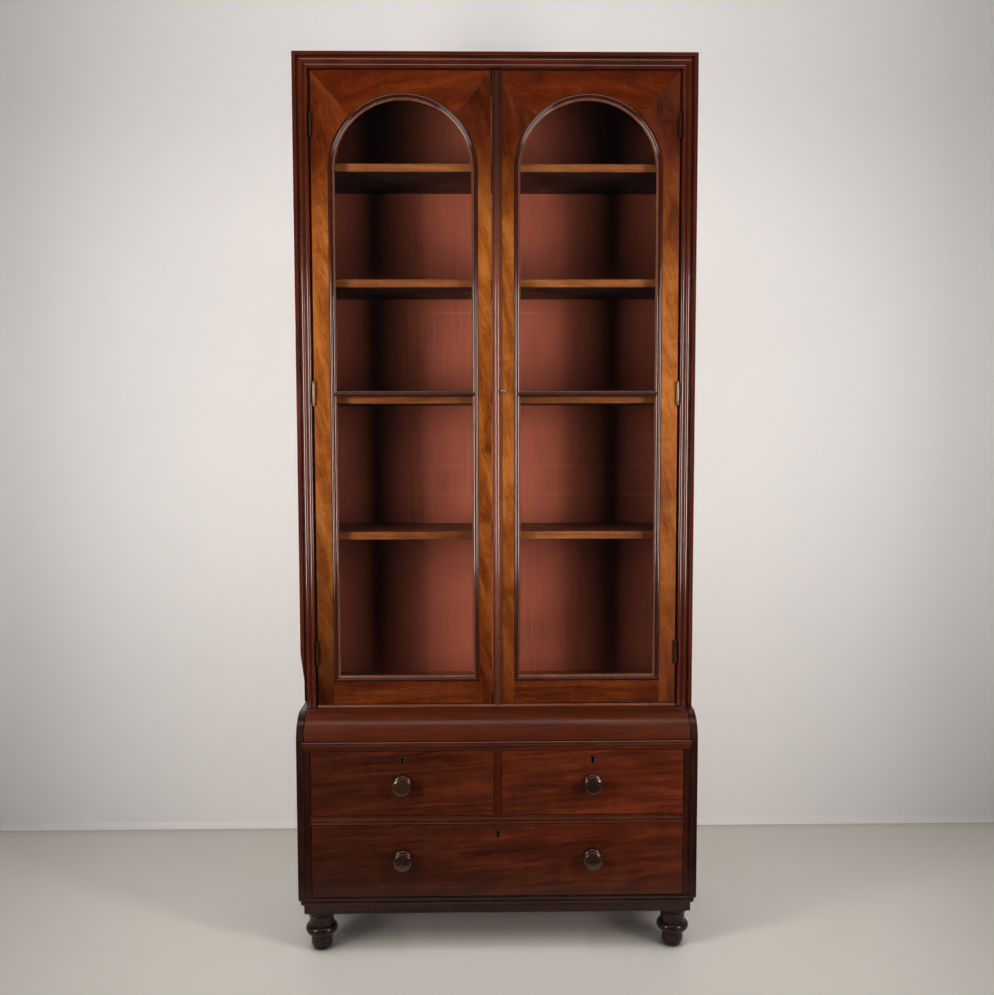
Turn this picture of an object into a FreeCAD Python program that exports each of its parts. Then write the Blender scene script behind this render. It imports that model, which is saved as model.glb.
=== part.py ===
"""Two-part glazed display cabinet: a bookcase with two arched doors on a chest of drawers.

Millimetres, +Z up, front towards -Y, origin on the floor under the middle of the whole.
"""
import FreeCAD, Part
import Sketcher
import math
import os

from FreeCAD import Vector

os.makedirs("parts", exist_ok=True)
doc = FreeCAD.newDocument("display_cabinet")

# Driving dimensions, each a plain number in one cell of the sheet
DIMENSIONS = {
    # overall
    "overall_height": 2409,
    "base_width": 1070,
    "base_depth": 400,
    "knob_reach": 32,
    # levels of the base, from the floor
    "foot_height": 113.5,
    "plinth_top": 138.5,
    "carcase_low": 167,
    "long_top": 366,
    "middle_top": 390,
    "short_top": 567,
    "cushion_low": 591,
    "base_height": 660,
    # boards of the base
    "base_side_thick": 19,
    "facing_width": 17.5,
    "facing_depth": 24,
    "rail_depth": 60,
    "divider_thick": 17.4,
    "base_top_thick": 18,
    "base_bottom_thick": 16,
    "panel_thick": 12,
    "panel_inset": 4,
    "cushion_radius": 68,
    "cushion_reach": 94,
    "cushion_lip_gap": 2,
    "cushion_front_depth": 42,
    "cushion_box_depth": 290,
    "runner_thick": 18,
    "runner_width": 36,
    "reed_bulge_radius": 10.8,
    # plinth and its moulding
    "plinth_inset": 13,
    "plinth_thick": 20,
    "plinth_round": 5,
    "base_mould_depth": 30,
    "base_mould_step": 13,
    "corner_block": 84,
    "foot_across": 966,
    "foot_setback": 62,
    "foot_sole_radius": 11,
    "foot_bun_radius": 28.5,
    "foot_bun_height": 43,
    "foot_ring_height": 27,
    "foot_neck_radius": 33,
    "foot_collar_radius": 45.5,
    "spigot_radius": 12,
    "spigot_length": 22,
    # drawers
    "drawer_gap": 1.5,
    "drawer_recess": 1,
    "front_thick": 20,
    "drawer_side_thick": 12,
    "drawer_back_thick": 10,
    "drawer_floor_thick": 8,
    "drawer_floor_lift": 4,
    "drawer_depth": 320,
    "short_side_height": 150,
    "long_side_height": 172,
    "cushion_side_height": 40,
    "dovetail_length": 14,
    "dovetail_pitch": 34,
    "knob_across": 508,
    "short_knob_level": 477.5,
    "long_knob_level": 273,
    "short_keyhole_level": 544,
    "long_keyhole_level": 342.5,
    "knob_radius": 24.4,
    "knob_neck_radius": 14.5,
    "knob_collar_radius": 23.6,
    "knob_spigot_radius": 7,
    "thread_radius": 7.5,
    "thread_depth": 3,
    "thread_drop": 15,
    "drawer_lock_width": 64,
    "drawer_lock_thick": 12,
    "rail_bead_height": 11,
    "rail_bead_proud": 3.5,
    "rail_bead_overlap": 3.5,
    "rail_bead_radius": 6.5,
    "middle_rail_recess": 0.5,
    # upper case
    "upper_setback": 85,
    "moulding_width": 45,
    "moulding_depth": 33,
    "moulding_overhang": 13,
    "moulding_margin": 4.5,
    "margin_sink": 4,
    "worn_foot": 10,
    "chipped_foot": 5,
    "upper_side_thick": 22,
    "upper_top_thick": 22,
    "upper_bottom_thick": 28,
    "head_rail_drop": 37,
    "sill_height": 7.5,
    "back_rebate": 8,
    "back_inset": 6,
    "back_thick": 12,
    "back_joint": 0.2,
    "shelf_thick": 22,
    "shelf_setback": 45,
    "shelf_gap": 1,
    "peg_radius": 4,
    "peg_reach": 10,
    "peg_inset": 32,
    # doors
    "door_recess": 8,
    "door_thick": 24,
    "hinge_gap": 1.5,
    "door_top_gap": 2,
    "meeting_gap": 2.5,
    "strip_left": 10.5,
    "strip_right": 15,
    "strip_flat": 5,
    "stile_width": 43.5,
    "pane_inner_edge": 48,
    "arch_level": 2106,
    "bottom_rail_height": 61.5,
    "bead_width": 17,
    "glass_thick": 3,
    "glass_setback": 12,
    "glass_clearance": 1,
    "bar_level": 1515,
    "bar_tongue": 3,
    # butt hinges
    "hinge_length": 55,
    "hinge_level": 1516,
    "hinge_spacing": 706,
    "hinge_stand": 4,
    "knuckle_radius": 3.8,
    "pin_radius": 2,
    "pin_clearance": 0.05,
    "leaf_thick": 1.5,
    "leaf_width": 20,
    "knuckle_play": 0.3,
    # lock and key
    "lock_level": 1521,
    "key_offset": 18.5,
    "lock_height": 60,
    "lock_length": 48,
    "lock_wall": 1.5,
    "lock_front": 8,
    "lock_thick": 13,
    "lock_bolt_height": 14,
    "lock_bolt_throw": 9,
    "key_shaft_radius": 2.5,
    "key_bit_radius": 10,
    "key_reach": 34,
    "key_bow_radius": 8.5,
    "key_wire_radius": 1.9,
    # flush bolts of the left door
    "bolt_radius": 2.5,
    "bolt_length": 108,
    "bolt_inset": 6,
    "bolt_travel": 9,
    "bolt_clearance": 0.1,
    "bolt_hole_clearance": 0.6,
    "bolt_hole_depth": 12,
    "bolt_plate_length": 90,
    "bolt_plate_width": 12,
}
SHELF_LEVELS = {"shelf_low_1": 2109.5, "shelf_low_2": 1803, "shelf_low_3": 1490, "shelf_low_4": 1117.5}

sheet = doc.addObject("Spreadsheet::Sheet", "sizes")
for row, (alias, number) in enumerate({**DIMENSIONS, **SHELF_LEVELS}.items(), start=1):
    sheet.set(f"A{row}", alias)
    sheet.set(f"B{row}", str(number))
    sheet.setAlias(f"B{row}", alias)
doc.recompute()


class Size:
    """A length worked out from the sheet: the formula that binds it and its present value."""

    def __init__(self, formula, value):
        self.formula = formula
        self.value = value

    def joined(self, sign, other, value):
        return Size(f"({self.formula} {sign} {size(other).formula})", value)

    def __add__(self, other):
        return self.joined("+", other, self.value + size(other).value)

    def __sub__(self, other):
        return self.joined("-", other, self.value - size(other).value)

    def __mul__(self, other):
        return self.joined("*", other, self.value * size(other).value)

    def __truediv__(self, other):
        return self.joined("/", other, self.value / size(other).value)

    def __radd__(self, other):
        return size(other) + self

    def __rsub__(self, other):
        return size(other) - self

    def __rmul__(self, other):
        return size(other) * self

    def __neg__(self):
        return size(0) - self


def size(number):
    """A number or a Size, as a Size."""
    if isinstance(number, Size):
        return number
    return Size(f"({number})", number)


def cell(alias):
    """The Size held in one cell of the sheet."""
    return Size(f"sizes.{alias}", sheet.get(alias))


def bind(item, place, amount):
    item.setExpression(place, size(amount).formula)


def move(item, x=0, y=0, z=0):
    """Binds the place of an object."""
    bind(item, "Placement.Base.x", x)
    bind(item, "Placement.Base.y", y)
    bind(item, "Placement.Base.z", z)


def box(name, x, y, z):
    """A square-edged board between two values on each axis."""
    item = doc.addObject("Part::Box", name)
    for place, (low, high) in zip(("Length", "Width", "Height"), (x, y, z)):
        bind(item, place, size(high) - low)
    move(item, x[0], y[0], z[0])
    return item


def rod(name, axis, radius, start, length):
    """A cylinder from a point, along +X, +Y or +Z."""
    item = doc.addObject("Part::Cylinder", name)
    bind(item, "Radius", radius)
    bind(item, "Height", length)
    turns = {"X": (Vector(0, 1, 0), 90), "Y": (Vector(1, 0, 0), -90), "Z": (Vector(0, 0, 1), 0)}
    item.Placement.Rotation = FreeCAD.Rotation(*turns[axis])
    move(item, *start)
    return item


def draw_loop(sketch, corners, arcs=None):
    """Draws a closed outline whose corners, and the radii of whose arcs, are bound to the sheet.

    arcs maps the number of a side to its radius: positive with the centre on the left of travel.
    """
    arcs = arcs or {}
    spots = [Vector(size(u).value, size(v).value, 0) for u, v in corners]
    sides = []
    for number, start in enumerate(spots):
        end = spots[(number + 1) % len(spots)]
        if number in arcs:
            radius = size(arcs[number])
            chord = end - start
            left = Vector(-chord.y, chord.x, 0).normalize()
            side = math.copysign(1, radius.value)
            depth = math.sqrt(max(radius.value ** 2 - chord.Length ** 2 / 4, 0))
            bulge = start + chord / 2 + left * side * (depth - abs(radius.value))
            forward = side > 0
            curve = Part.Arc(start, bulge, end) if forward else Part.Arc(end, bulge, start)
        else:
            forward = True
            curve = Part.LineSegment(start, end)
        made = sketch.addGeometry(curve)
        sides.append((made, 1 if forward else 2, 2 if forward else 1))
    for number, (made, first, last) in enumerate(sides):
        following, following_first, _ = sides[(number + 1) % len(sides)]
        sketch.addConstraint(Sketcher.Constraint("Coincident", made, last, following, following_first))
        for kind, amount in zip(("DistanceX", "DistanceY"), corners[number]):
            amount = size(amount)
            placed = sketch.addConstraint(Sketcher.Constraint(kind, -1, 1, made, first, amount.value))
            bind(sketch, f"Constraints[{placed}]", amount)
        if number in arcs:
            radius = size(arcs[number])
            radius = radius if radius.value > 0 else -radius
            placed = sketch.addConstraint(Sketcher.Constraint("Radius", made, radius.value))
            bind(sketch, f"Constraints[{placed}]", radius)


def new_sketch(body, plane, offset=0):
    """A sketch on one of the body's own planes, moved along that plane's normal."""
    sketch = body.newObject("Sketcher::SketchObject", body.Name + "_outline")
    origin_plane = next(item for item in body.Origin.OriginFeatures if item.Role == plane)
    sketch.AttachmentSupport = [(origin_plane, "")]
    sketch.MapMode = "FlatFace"
    bind(sketch, "AttachmentOffset.Base.z", offset)
    return sketch


def prism(name, view, corners, start, end, arcs=None):
    """A body padded from an outline: view is front (X, Z), side (Y, Z) or plan (X, Y)."""
    body = doc.addObject("PartDesign::Body", name)
    plane = {"front": "XZ_Plane", "side": "YZ_Plane", "plan": "XY_Plane"}[view]
    sketch = new_sketch(body, plane, -size(end) if view == "front" else start)
    draw_loop(sketch, corners, arcs)
    pad = body.newObject("PartDesign::Pad", name + "_pad")
    pad.Profile = sketch
    bind(pad, "Length", size(end) - start)
    return body


def turned(name, corners, arcs, plane, degrees=360):
    """A body turned about the vertical axis of its sketch: corners are (radius, height)."""
    body = doc.addObject("PartDesign::Body", name)
    sketch = new_sketch(body, plane)
    draw_loop(sketch, corners, arcs)
    turn = body.newObject("PartDesign::Revolution", name + "_turn")
    turn.Profile = sketch
    turn.ReferenceAxis = (sketch, ["V_Axis"])
    turn.Angle = degrees
    turn.Reversed = degrees < 360
    return body


def cut(name, base, tool):
    item = doc.addObject("Part::Cut", name)
    item.Base = base
    item.Tool = tool
    return item


def shared(name, base, tool):
    """What two solids have in common, as when an end is mitred."""
    item = doc.addObject("Part::Common", name)
    item.Base = base
    item.Tool = tool
    return item


def fused(name, pieces):
    item = doc.addObject("Part::MultiFuse", name)
    item.Shapes = pieces
    item.Refine = True
    return item


def group(name, pieces):
    """Several separate solids that share one node."""
    item = doc.addObject("Part::Compound", name)
    item.Links = pieces
    return item


NODES = []


def node(name, item):
    """Gives a finished sub-part the label that names its file."""
    item.Label = name
    NODES.append(item)
    return item


# Places that several sub-parts share
HALF_BASE = cell("base_width") / 2
BASE_INNER = HALF_BASE - cell("base_side_thick")
OPENING_EDGE = BASE_INNER - cell("facing_width")
OVERALL_DEPTH = cell("base_depth") + cell("knob_reach")
BACK = OVERALL_DEPTH / 2
BASE_FRONT = BACK - cell("base_depth")
PANEL_FRONT = BACK - cell("panel_inset") - cell("panel_thick")
UPPER_FRONT = BASE_FRONT + cell("upper_setback")
STOP_PLANE = UPPER_FRONT + cell("moulding_depth")
CASE_OUTER = HALF_BASE - cell("moulding_overhang")
CASE_INNER = CASE_OUTER - cell("upper_side_thick")
DOOR_OPENING = HALF_BASE - cell("moulding_width")
DOOR_FACE = UPPER_FRONT + cell("door_recess")
DOOR_BACK = DOOR_FACE + cell("door_thick")
TOP_BOARD_LOW = cell("overall_height") - cell("upper_top_thick")
BACK_BOARD_FRONT = BACK - cell("back_inset") - cell("back_thick")


def base_sides():
    """Side boards of the chest, whose front corner follows the cushion-shaped drawer."""
    outline = [
        (BASE_FRONT, cell("carcase_low")),
        (BASE_FRONT, cell("base_height") - cell("cushion_radius")),
        (BASE_FRONT + cell("cushion_radius"), cell("base_height")),
        (BACK, cell("base_height")),
        (BACK, cell("carcase_low")),
    ]
    arcs = {1: -cell("cushion_radius")}
    node("base_side_left", prism("side_l", "side", outline, -HALF_BASE, -BASE_INNER, arcs))
    node("base_side_right", prism("side_r", "side", outline, BASE_INNER, HALF_BASE, arcs))


def base_boards():
    top_low = cell("base_height") - cell("base_top_thick")
    bottom_high = cell("carcase_low")
    bottom_reach = HALF_BASE - cell("base_mould_depth")
    bottom_low = bottom_high - cell("base_bottom_thick")
    lip_end = BASE_FRONT + cell("cushion_reach") + cell("cushion_lip_gap")
    inner = (-BASE_INNER, BASE_INNER)
    node("base_top_board", box("b_top", inner, (lip_end, BACK), (top_low, cell("base_height"))))
    node("base_bottom_board", box("b_bottom", (-bottom_reach, bottom_reach),
                                  (BASE_FRONT + cell("base_mould_depth"),
                                   BACK - cell("panel_inset")), (bottom_low, bottom_high)))
    node("base_back_panel", box("b_panel", inner,
                                (PANEL_FRONT, BACK - cell("panel_inset")), (bottom_high, top_low)))


def base_moulding():
    """Double-stepped moulding under the chest, mitred at the two front corners."""
    top = cell("carcase_low")
    low = cell("plinth_top")
    step = cell("base_mould_step")
    quirk = 1
    top_inset = 0.8
    inset = cell("plinth_inset")

    def profile(along):
        """Outline of the section: along turns a distance behind the face into a place."""
        return [
            (along(cell("base_mould_depth")), low),
            (along(cell("base_mould_depth")), top),
            (along(top_inset), top),
            (along(inset / 2 - quirk), top - step),
            (along(inset / 2), top - step),
            (along(inset - quirk), low + quirk),
            (along(inset), low + quirk),
            (along(inset), low),
        ]

    round_radius = 11
    front = prism("bm_front_run", "side", profile(lambda d: BASE_FRONT + d), -HALF_BASE, HALF_BASE,
                  {2: round_radius, 4: round_radius})
    depth = cell("base_mould_depth")
    front_plan = prism("bm_front_mitre", "plan",
                       [(-HALF_BASE, BASE_FRONT), (HALF_BASE, BASE_FRONT),
                        (HALF_BASE - depth, BASE_FRONT + depth),
                        (-HALF_BASE + depth, BASE_FRONT + depth)], low, top)
    pieces = [shared("bm_front", front, front_plan)]
    for label, hand in (("left", -1), ("right", 1)):
        run = prism(f"bm_{label}_run", "front", profile(lambda d: (HALF_BASE - d) * hand),
                    BASE_FRONT, BACK, {2: round_radius * -hand, 4: round_radius * -hand})
        plan = prism(f"bm_{label}_mitre", "plan",
                     [(HALF_BASE * hand, BASE_FRONT), (HALF_BASE * hand, BACK),
                      ((HALF_BASE - depth) * hand, BACK),
                      ((HALF_BASE - depth) * hand, BASE_FRONT + depth)], low, top)
        pieces.append(shared(f"bm_{label}", run, plan))
    node("base_moulding", group("bm", pieces))


def foot_places():
    """Corner name, x and y of each foot."""
    front = BASE_FRONT + cell("foot_setback")
    back = BACK - cell("foot_setback")
    half = cell("foot_across") / 2
    return [("front_left", -half, front), ("front_right", half, front),
            ("back_left", -half, back), ("back_right", half, back)]


def plinth_and_feet():
    """Set-back plinth with corner blocks, on four turned feet with spigots."""
    low = cell("foot_height")
    top = cell("plinth_top")
    thick = cell("plinth_thick")
    edge = HALF_BASE - cell("plinth_inset")
    front_face = BASE_FRONT + cell("plinth_inset")
    back_face = BACK - cell("panel_inset")
    soft = cell("plinth_round")
    front = prism("pl_front_run", "side",
                  [(front_face + soft, low), (front_face + thick, low), (front_face + thick, top),
                   (front_face, top), (front_face, low + soft)], -edge, edge, {4: soft})
    front_plan = prism("pl_front_mitre", "plan",
                       [(-edge, front_face), (edge, front_face),
                        (edge - thick, front_face + thick), (-edge + thick, front_face + thick)],
                       low, top)
    pieces = [shared("pl_front", front, front_plan)]
    for label, hand in (("left", -1), ("right", 1)):
        run = prism(f"pl_{label}_run", "front",
                    [((edge - soft) * hand, low), ((edge - thick) * hand, low),
                     ((edge - thick) * hand, top), (edge * hand, top), (edge * hand, low + soft)],
                    front_face, back_face, {4: soft * -hand})
        plan = prism(f"pl_{label}_mitre", "plan",
                     [(edge * hand, front_face), (edge * hand, back_face),
                      ((edge - thick) * hand, back_face),
                      ((edge - thick) * hand, front_face + thick)], low, top)
        pieces.append(shared(f"pl_{label}", run, plan))
    pieces.append(box("pl_back", (-edge + thick, edge - thick), (back_face - thick, back_face),
                      (low, top)))
    spigot_radius = cell("spigot_radius")
    spigot_top = low + cell("spigot_length")
    spigot_clearance = 0.1
    block = cell("corner_block")
    bun_radius = cell("foot_bun_radius")
    bun_top = cell("foot_bun_height")
    ring_top = bun_top + cell("foot_ring_height")
    neck = cell("foot_neck_radius")
    collar = cell("foot_collar_radius")
    sole = cell("foot_sole_radius")
    profile = [(0, 0), (sole, 0), (bun_radius, 19), (bun_radius, bun_top - 5),
               (bun_radius - 1, bun_top), (bun_radius + 1.5, bun_top), (neck, ring_top),
               (neck, ring_top + 10), (collar, low - 6), (collar, low), (spigot_radius, low),
               (spigot_radius, spigot_top), (0, spigot_top)]
    rounds = {1: 20, 5: 13.7, 7: -30}
    for corner, x, y in foot_places():
        hand = -1 if corner.endswith("left") else 1
        outer = (edge - thick) * hand
        inner = (edge - thick - block) * hand
        if corner.startswith("front"):
            ends = (front_face + thick, front_face + thick + block)
        else:
            ends = (back_face - thick - block, back_face - thick)
        blank = box(f"pl_block_{corner}", (outer, inner) if hand < 0 else (inner, outer), ends,
                    (low, top))
        hole = rod(f"pl_hole_{corner}", "Z", spigot_radius + spigot_clearance, (x, y, low),
                   cell("spigot_length"))
        pieces.append(cut(f"pl_corner_{corner}", blank, hole))
        foot = turned(f"f_{corner}", profile, rounds, "XZ_Plane")
        move(foot, x, y, 0)
        node(f"foot_{corner}", foot)
    node("plinth_frame", group("pl", pieces))


def base_rails():
    """Front rails between the drawers: one with a planted bead above and a double-reeded one below."""
    back = BASE_FRONT + cell("rail_depth")
    bead_low = cell("cushion_low") - cell("rail_bead_height")
    bead_reach = BASE_INNER + cell("rail_bead_overlap")
    upper = box("cr", (-BASE_INNER, BASE_INNER), (BASE_FRONT, back),
                (cell("short_top"), cell("cushion_low")))
    proud = BASE_FRONT - cell("rail_bead_proud")
    bead_root = BASE_FRONT - 0.5
    bead_radius = cell("rail_bead_radius")
    bead = prism("cr_bead", "side",
                 [(BASE_FRONT, bead_low), (BASE_FRONT, cell("cushion_low")),
                  (bead_root, cell("cushion_low")),
                  (proud, bead_low + cell("rail_bead_height") / 2), (bead_root, bead_low)],
                 -bead_reach, bead_reach, {2: bead_radius, 3: bead_radius})
    front = BASE_FRONT + cell("middle_rail_recess")
    low = cell("long_top")
    top = cell("middle_top")
    middle_height = (low + top) / 2
    reed = front + 1.5
    quirk = reed + 1
    half_quirk = 0.5
    middle = prism("mr", "side",
                   [(back, low), (back, top), (reed, top), (reed, middle_height + half_quirk),
                    (quirk, middle_height + half_quirk), (quirk, middle_height - half_quirk),
                    (reed, middle_height - half_quirk), (reed, low)],
                   -OPENING_EDGE, OPENING_EDGE,
                   {2: cell("reed_bulge_radius"), 6: cell("reed_bulge_radius")})
    node("front_rails", group("rails", [upper, bead, middle]))
    half = cell("divider_thick") / 2
    node("drawer_divider", box("divider", (-half, half), (front, PANEL_FRONT),
                               (cell("middle_top"), cell("short_top"))))


def drawer_runners():
    """Facings beside the drawers and the strips that the drawers slide on."""
    pieces = []
    behind = BASE_FRONT + cell("rail_depth")
    thick = cell("runner_thick")
    width = cell("runner_width")
    facing_front = BASE_FRONT + cell("drawer_recess")
    facing_back = facing_front + cell("facing_depth")
    for label, hand in (("left", -1), ("right", 1)):
        def span(near, far, hand=hand):
            return (near * hand, far * hand) if hand > 0 else (far * hand, near * hand)
        pieces.append(box(f"facing_{label}", span(OPENING_EDGE, BASE_INNER),
                          (facing_front, facing_back), (cell("carcase_low"), cell("short_top"))))
        pieces.append(box(f"guide_{label}", span(OPENING_EDGE, BASE_INNER),
                          (facing_back, PANEL_FRONT),
                          (cell("carcase_low"), cell("carcase_low") + thick)))
        for level in ("middle_top", "cushion_low"):
            pieces.append(box(f"runner_{level}_{label}", span(BASE_INNER - width, BASE_INNER),
                              (behind, PANEL_FRONT), (cell(level) - thick, cell(level))))
    pieces.append(box("runner_centre", (-width, width), (behind, PANEL_FRONT),
                      (cell("middle_top") - thick, cell("middle_top"))))
    node("drawer_runners", group("runners", pieces))


def keyhole_outline(x, z, radius, tail, drop):
    """Keyhole shape: a round head above a tail that flares to its foot."""
    neck = radius * 0.5
    neck_drop = radius * 0.866
    return ([(x - tail, z - drop), (x + tail, z - drop), (x + neck, z - neck_drop),
             (x, z + radius), (x - neck, z - neck_drop)], {2: radius, 3: radius})


def drawer_lock(name, x, z):
    """Brass thread round the keyhole and the lock behind the drawer front, as separate solids."""
    face = BASE_FRONT + cell("drawer_recess")
    behind = face + cell("front_thick")
    seat_back = face + cell("thread_depth")
    radius = cell("thread_radius")
    drop = cell("thread_drop")
    wall = 2.5
    outer, outer_arcs = keyhole_outline(x, z, radius, radius - 1, drop)
    inner, inner_arcs = keyhole_outline(x, z, radius / 2, 2.2, drop - wall)
    blank = prism(f"{name}_blank", "front", outer, face, seat_back, outer_arcs)
    hole = prism(f"{name}_slot", "front", inner, face, behind, inner_arcs)
    thread = cut(f"{name}_thread", blank, hole)
    half = cell("drawer_lock_width") / 2
    case = box(f"{name}_case", (x - half, x + half), (behind, behind + cell("drawer_lock_thick")),
               (z - drop - 9, z + 14))
    return group(name, [thread, case]), [blank, hole]


def knob(name, x, z):
    """Turned knob: a beaded collar against the drawer, a neck and a low dome with a beaded rim."""
    reach = cell("knob_reach") + cell("drawer_recess")
    rim = cell("knob_radius") - 3
    collar = cell("knob_collar_radius") - 3.5
    neck = cell("knob_neck_radius")
    spigot = cell("knob_spigot_radius")
    face = BASE_FRONT + cell("drawer_recess")
    dome_height = 2.4
    dome_edge = rim - 2
    dome_radius = (dome_edge * dome_edge + dome_height ** 2) / (dome_height * 2)
    body = turned(name,
                  [(0, -reach), (dome_edge, -reach + dome_height), (rim, -reach + dome_height + 1),
                   (rim + 0.5, -reach + 10.5), (neck, -16), (neck, -12), (collar, -10.5),
                   (collar, -1.5), (collar, 0), (spigot, 0), (spigot, 18), (0, 18)],
                  {0: dome_radius, 2: 3.65, 3: -14, 6: 4.55}, "XY_Plane")
    move(body, x, face, z)
    return body


def drawer_side(name, x, y, z):
    """A drawer side whose front end is cut into dovetails that reach into the drawer front."""
    low, high = z
    length = cell("dovetail_length")
    count = max(1, int((high - low).value // cell("dovetail_pitch").value))
    pitch = (high - low) / count
    outline = [(y[1], low), (y[1], high)]
    for number in reversed(range(count)):
        middle = low + pitch * (number + 0.5)
        outline += [(y[0], middle + pitch * 0.3), (y[0] - length, middle + pitch * 0.38),
                    (y[0] - length, middle - pitch * 0.38), (y[0], middle - pitch * 0.3)]
        if number:
            outline.append((y[0], middle - pitch * 0.5))
    outline.insert(2, (y[0], high))
    outline.append((y[0], low))
    return prism(name, "side", outline, *x)


def drawer_box(name, x, y, z, side_height):
    """Two dovetailed sides, a back and a floor, left as boards that touch; also the two sides."""
    side = cell("drawer_side_thick")
    floor = cell("drawer_floor_thick")
    low = z
    high = z + side_height
    floor_low = low + cell("drawer_floor_lift")
    back = y[1] - cell("drawer_back_thick")
    inner = (x[0] + side, x[1] - side)
    sides = [drawer_side(f"{name}_left", (x[0], x[0] + side), y, (low, high)),
             drawer_side(f"{name}_right", (x[1] - side, x[1]), y, (low, high))]
    back_board = box(f"{name}_back", inner, (back, y[1]), (floor_low + floor, high))
    floor_board = box(f"{name}_floor", inner, y, (floor_low, floor_low + floor))
    return group(name, sides + [back_board, floor_board]), sides


def flat_drawer(name, x, z, side_height, knobs, keyhole):
    """A drawer with a flat front, turned knobs and a lock."""
    face = BASE_FRONT + cell("drawer_recess")
    behind = face + cell("front_thick")
    gap = cell("drawer_gap")
    front_x = (x[0] + gap, x[1] - gap)
    blank = box(f"{name}_blank", front_x, (face, behind), (z[0] + gap, z[1] - gap))
    lock, seat = drawer_lock(f"{name}_lk", *keyhole)
    turned_knobs = [knob(f"{name}_kn{i}", *place) for i, place in enumerate(knobs)]
    bores = [rod(f"{name}_bore{i}", "Y", cell("knob_spigot_radius"), (place[0], face, place[1]),
                 cell("front_thick")) for i, place in enumerate(knobs)]
    boards, sides = drawer_box(f"{name}_bx", front_x, (behind, behind + cell("drawer_depth")),
                               z[0] + gap, side_height)
    cutters = fused(f"{name}_cutters", seat + bores + sides)
    node(f"{name}_front", cut(f"{name}_fr", blank, cutters))
    node(f"{name}_box", boards)
    if len(turned_knobs) > 1:
        node(f"{name}_knobs", group(f"{name}_kns", turned_knobs))
    else:
        node(f"{name}_knob", turned_knobs[0])
    node(f"{name}_lock", lock)


def drawers():
    half_divider = cell("divider_thick") / 2
    half_knobs = cell("knob_across") / 2
    short_z = (cell("middle_top"), cell("short_top"))
    knob_z = cell("short_knob_level")
    keyhole_z = cell("short_keyhole_level")
    flat_drawer("short_drawer_left", (-OPENING_EDGE, -half_divider), short_z,
                cell("short_side_height"), [(-half_knobs, knob_z)], (-half_knobs, keyhole_z))
    flat_drawer("short_drawer_right", (half_divider, OPENING_EDGE), short_z,
                cell("short_side_height"), [(half_knobs, knob_z)], (half_knobs, keyhole_z))
    knob_z = cell("long_knob_level")
    flat_drawer("long_drawer", (-OPENING_EDGE, OPENING_EDGE), (cell("carcase_low"), cell("long_top")),
                cell("long_side_height"), [(-half_knobs, knob_z), (half_knobs, knob_z)],
                (size(0), cell("long_keyhole_level")))


def cushion_drawer():
    """Frieze drawer whose front is a quarter-round cushion that runs back under the upper case."""
    gap = cell("drawer_gap")
    low = cell("cushion_low") + gap
    recess = cell("drawer_recess")
    radius = cell("cushion_radius") - recess * 2
    high = cell("base_height") - recess
    face = BASE_FRONT + recess
    lip = BASE_FRONT + cell("cushion_reach")
    lip_thick = 14
    rear = BASE_FRONT + cell("cushion_front_depth")
    rear_drop = 22
    reach = BASE_INNER - gap
    front = prism("cu_front", "side",
                  [(face, low), (face, high - radius), (face + radius, high), (lip, high),
                   (lip, high - lip_thick), (rear, high - rear_drop), (rear, low)],
                  -reach, reach, {1: -radius})
    boards, sides = drawer_box("cu_box", (-reach, reach), (rear, rear + cell("cushion_box_depth")),
                               low, cell("cushion_side_height"))
    node("cushion_drawer_front", cut("cu_socketed", front, fused("cu_sockets", sides)))
    node("cushion_drawer_box", boards)


def peg_rods(hand, name):
    """Wooden pegs under the shelf ends on one side, half their length in the side board."""
    pegs = []
    reach = cell("peg_reach")
    inset = cell("peg_inset")
    for level in SHELF_LEVELS:
        for end, y in (("front", STOP_PLANE + inset), ("back", BACK_BOARD_FRONT - inset)):
            start = CASE_INNER * hand - reach
            pegs.append(rod(f"{name}_{level}_{end}", "X", cell("peg_radius"),
                            (start, y, cell(level) - cell("peg_radius")), reach * 2))
    return pegs


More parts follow.
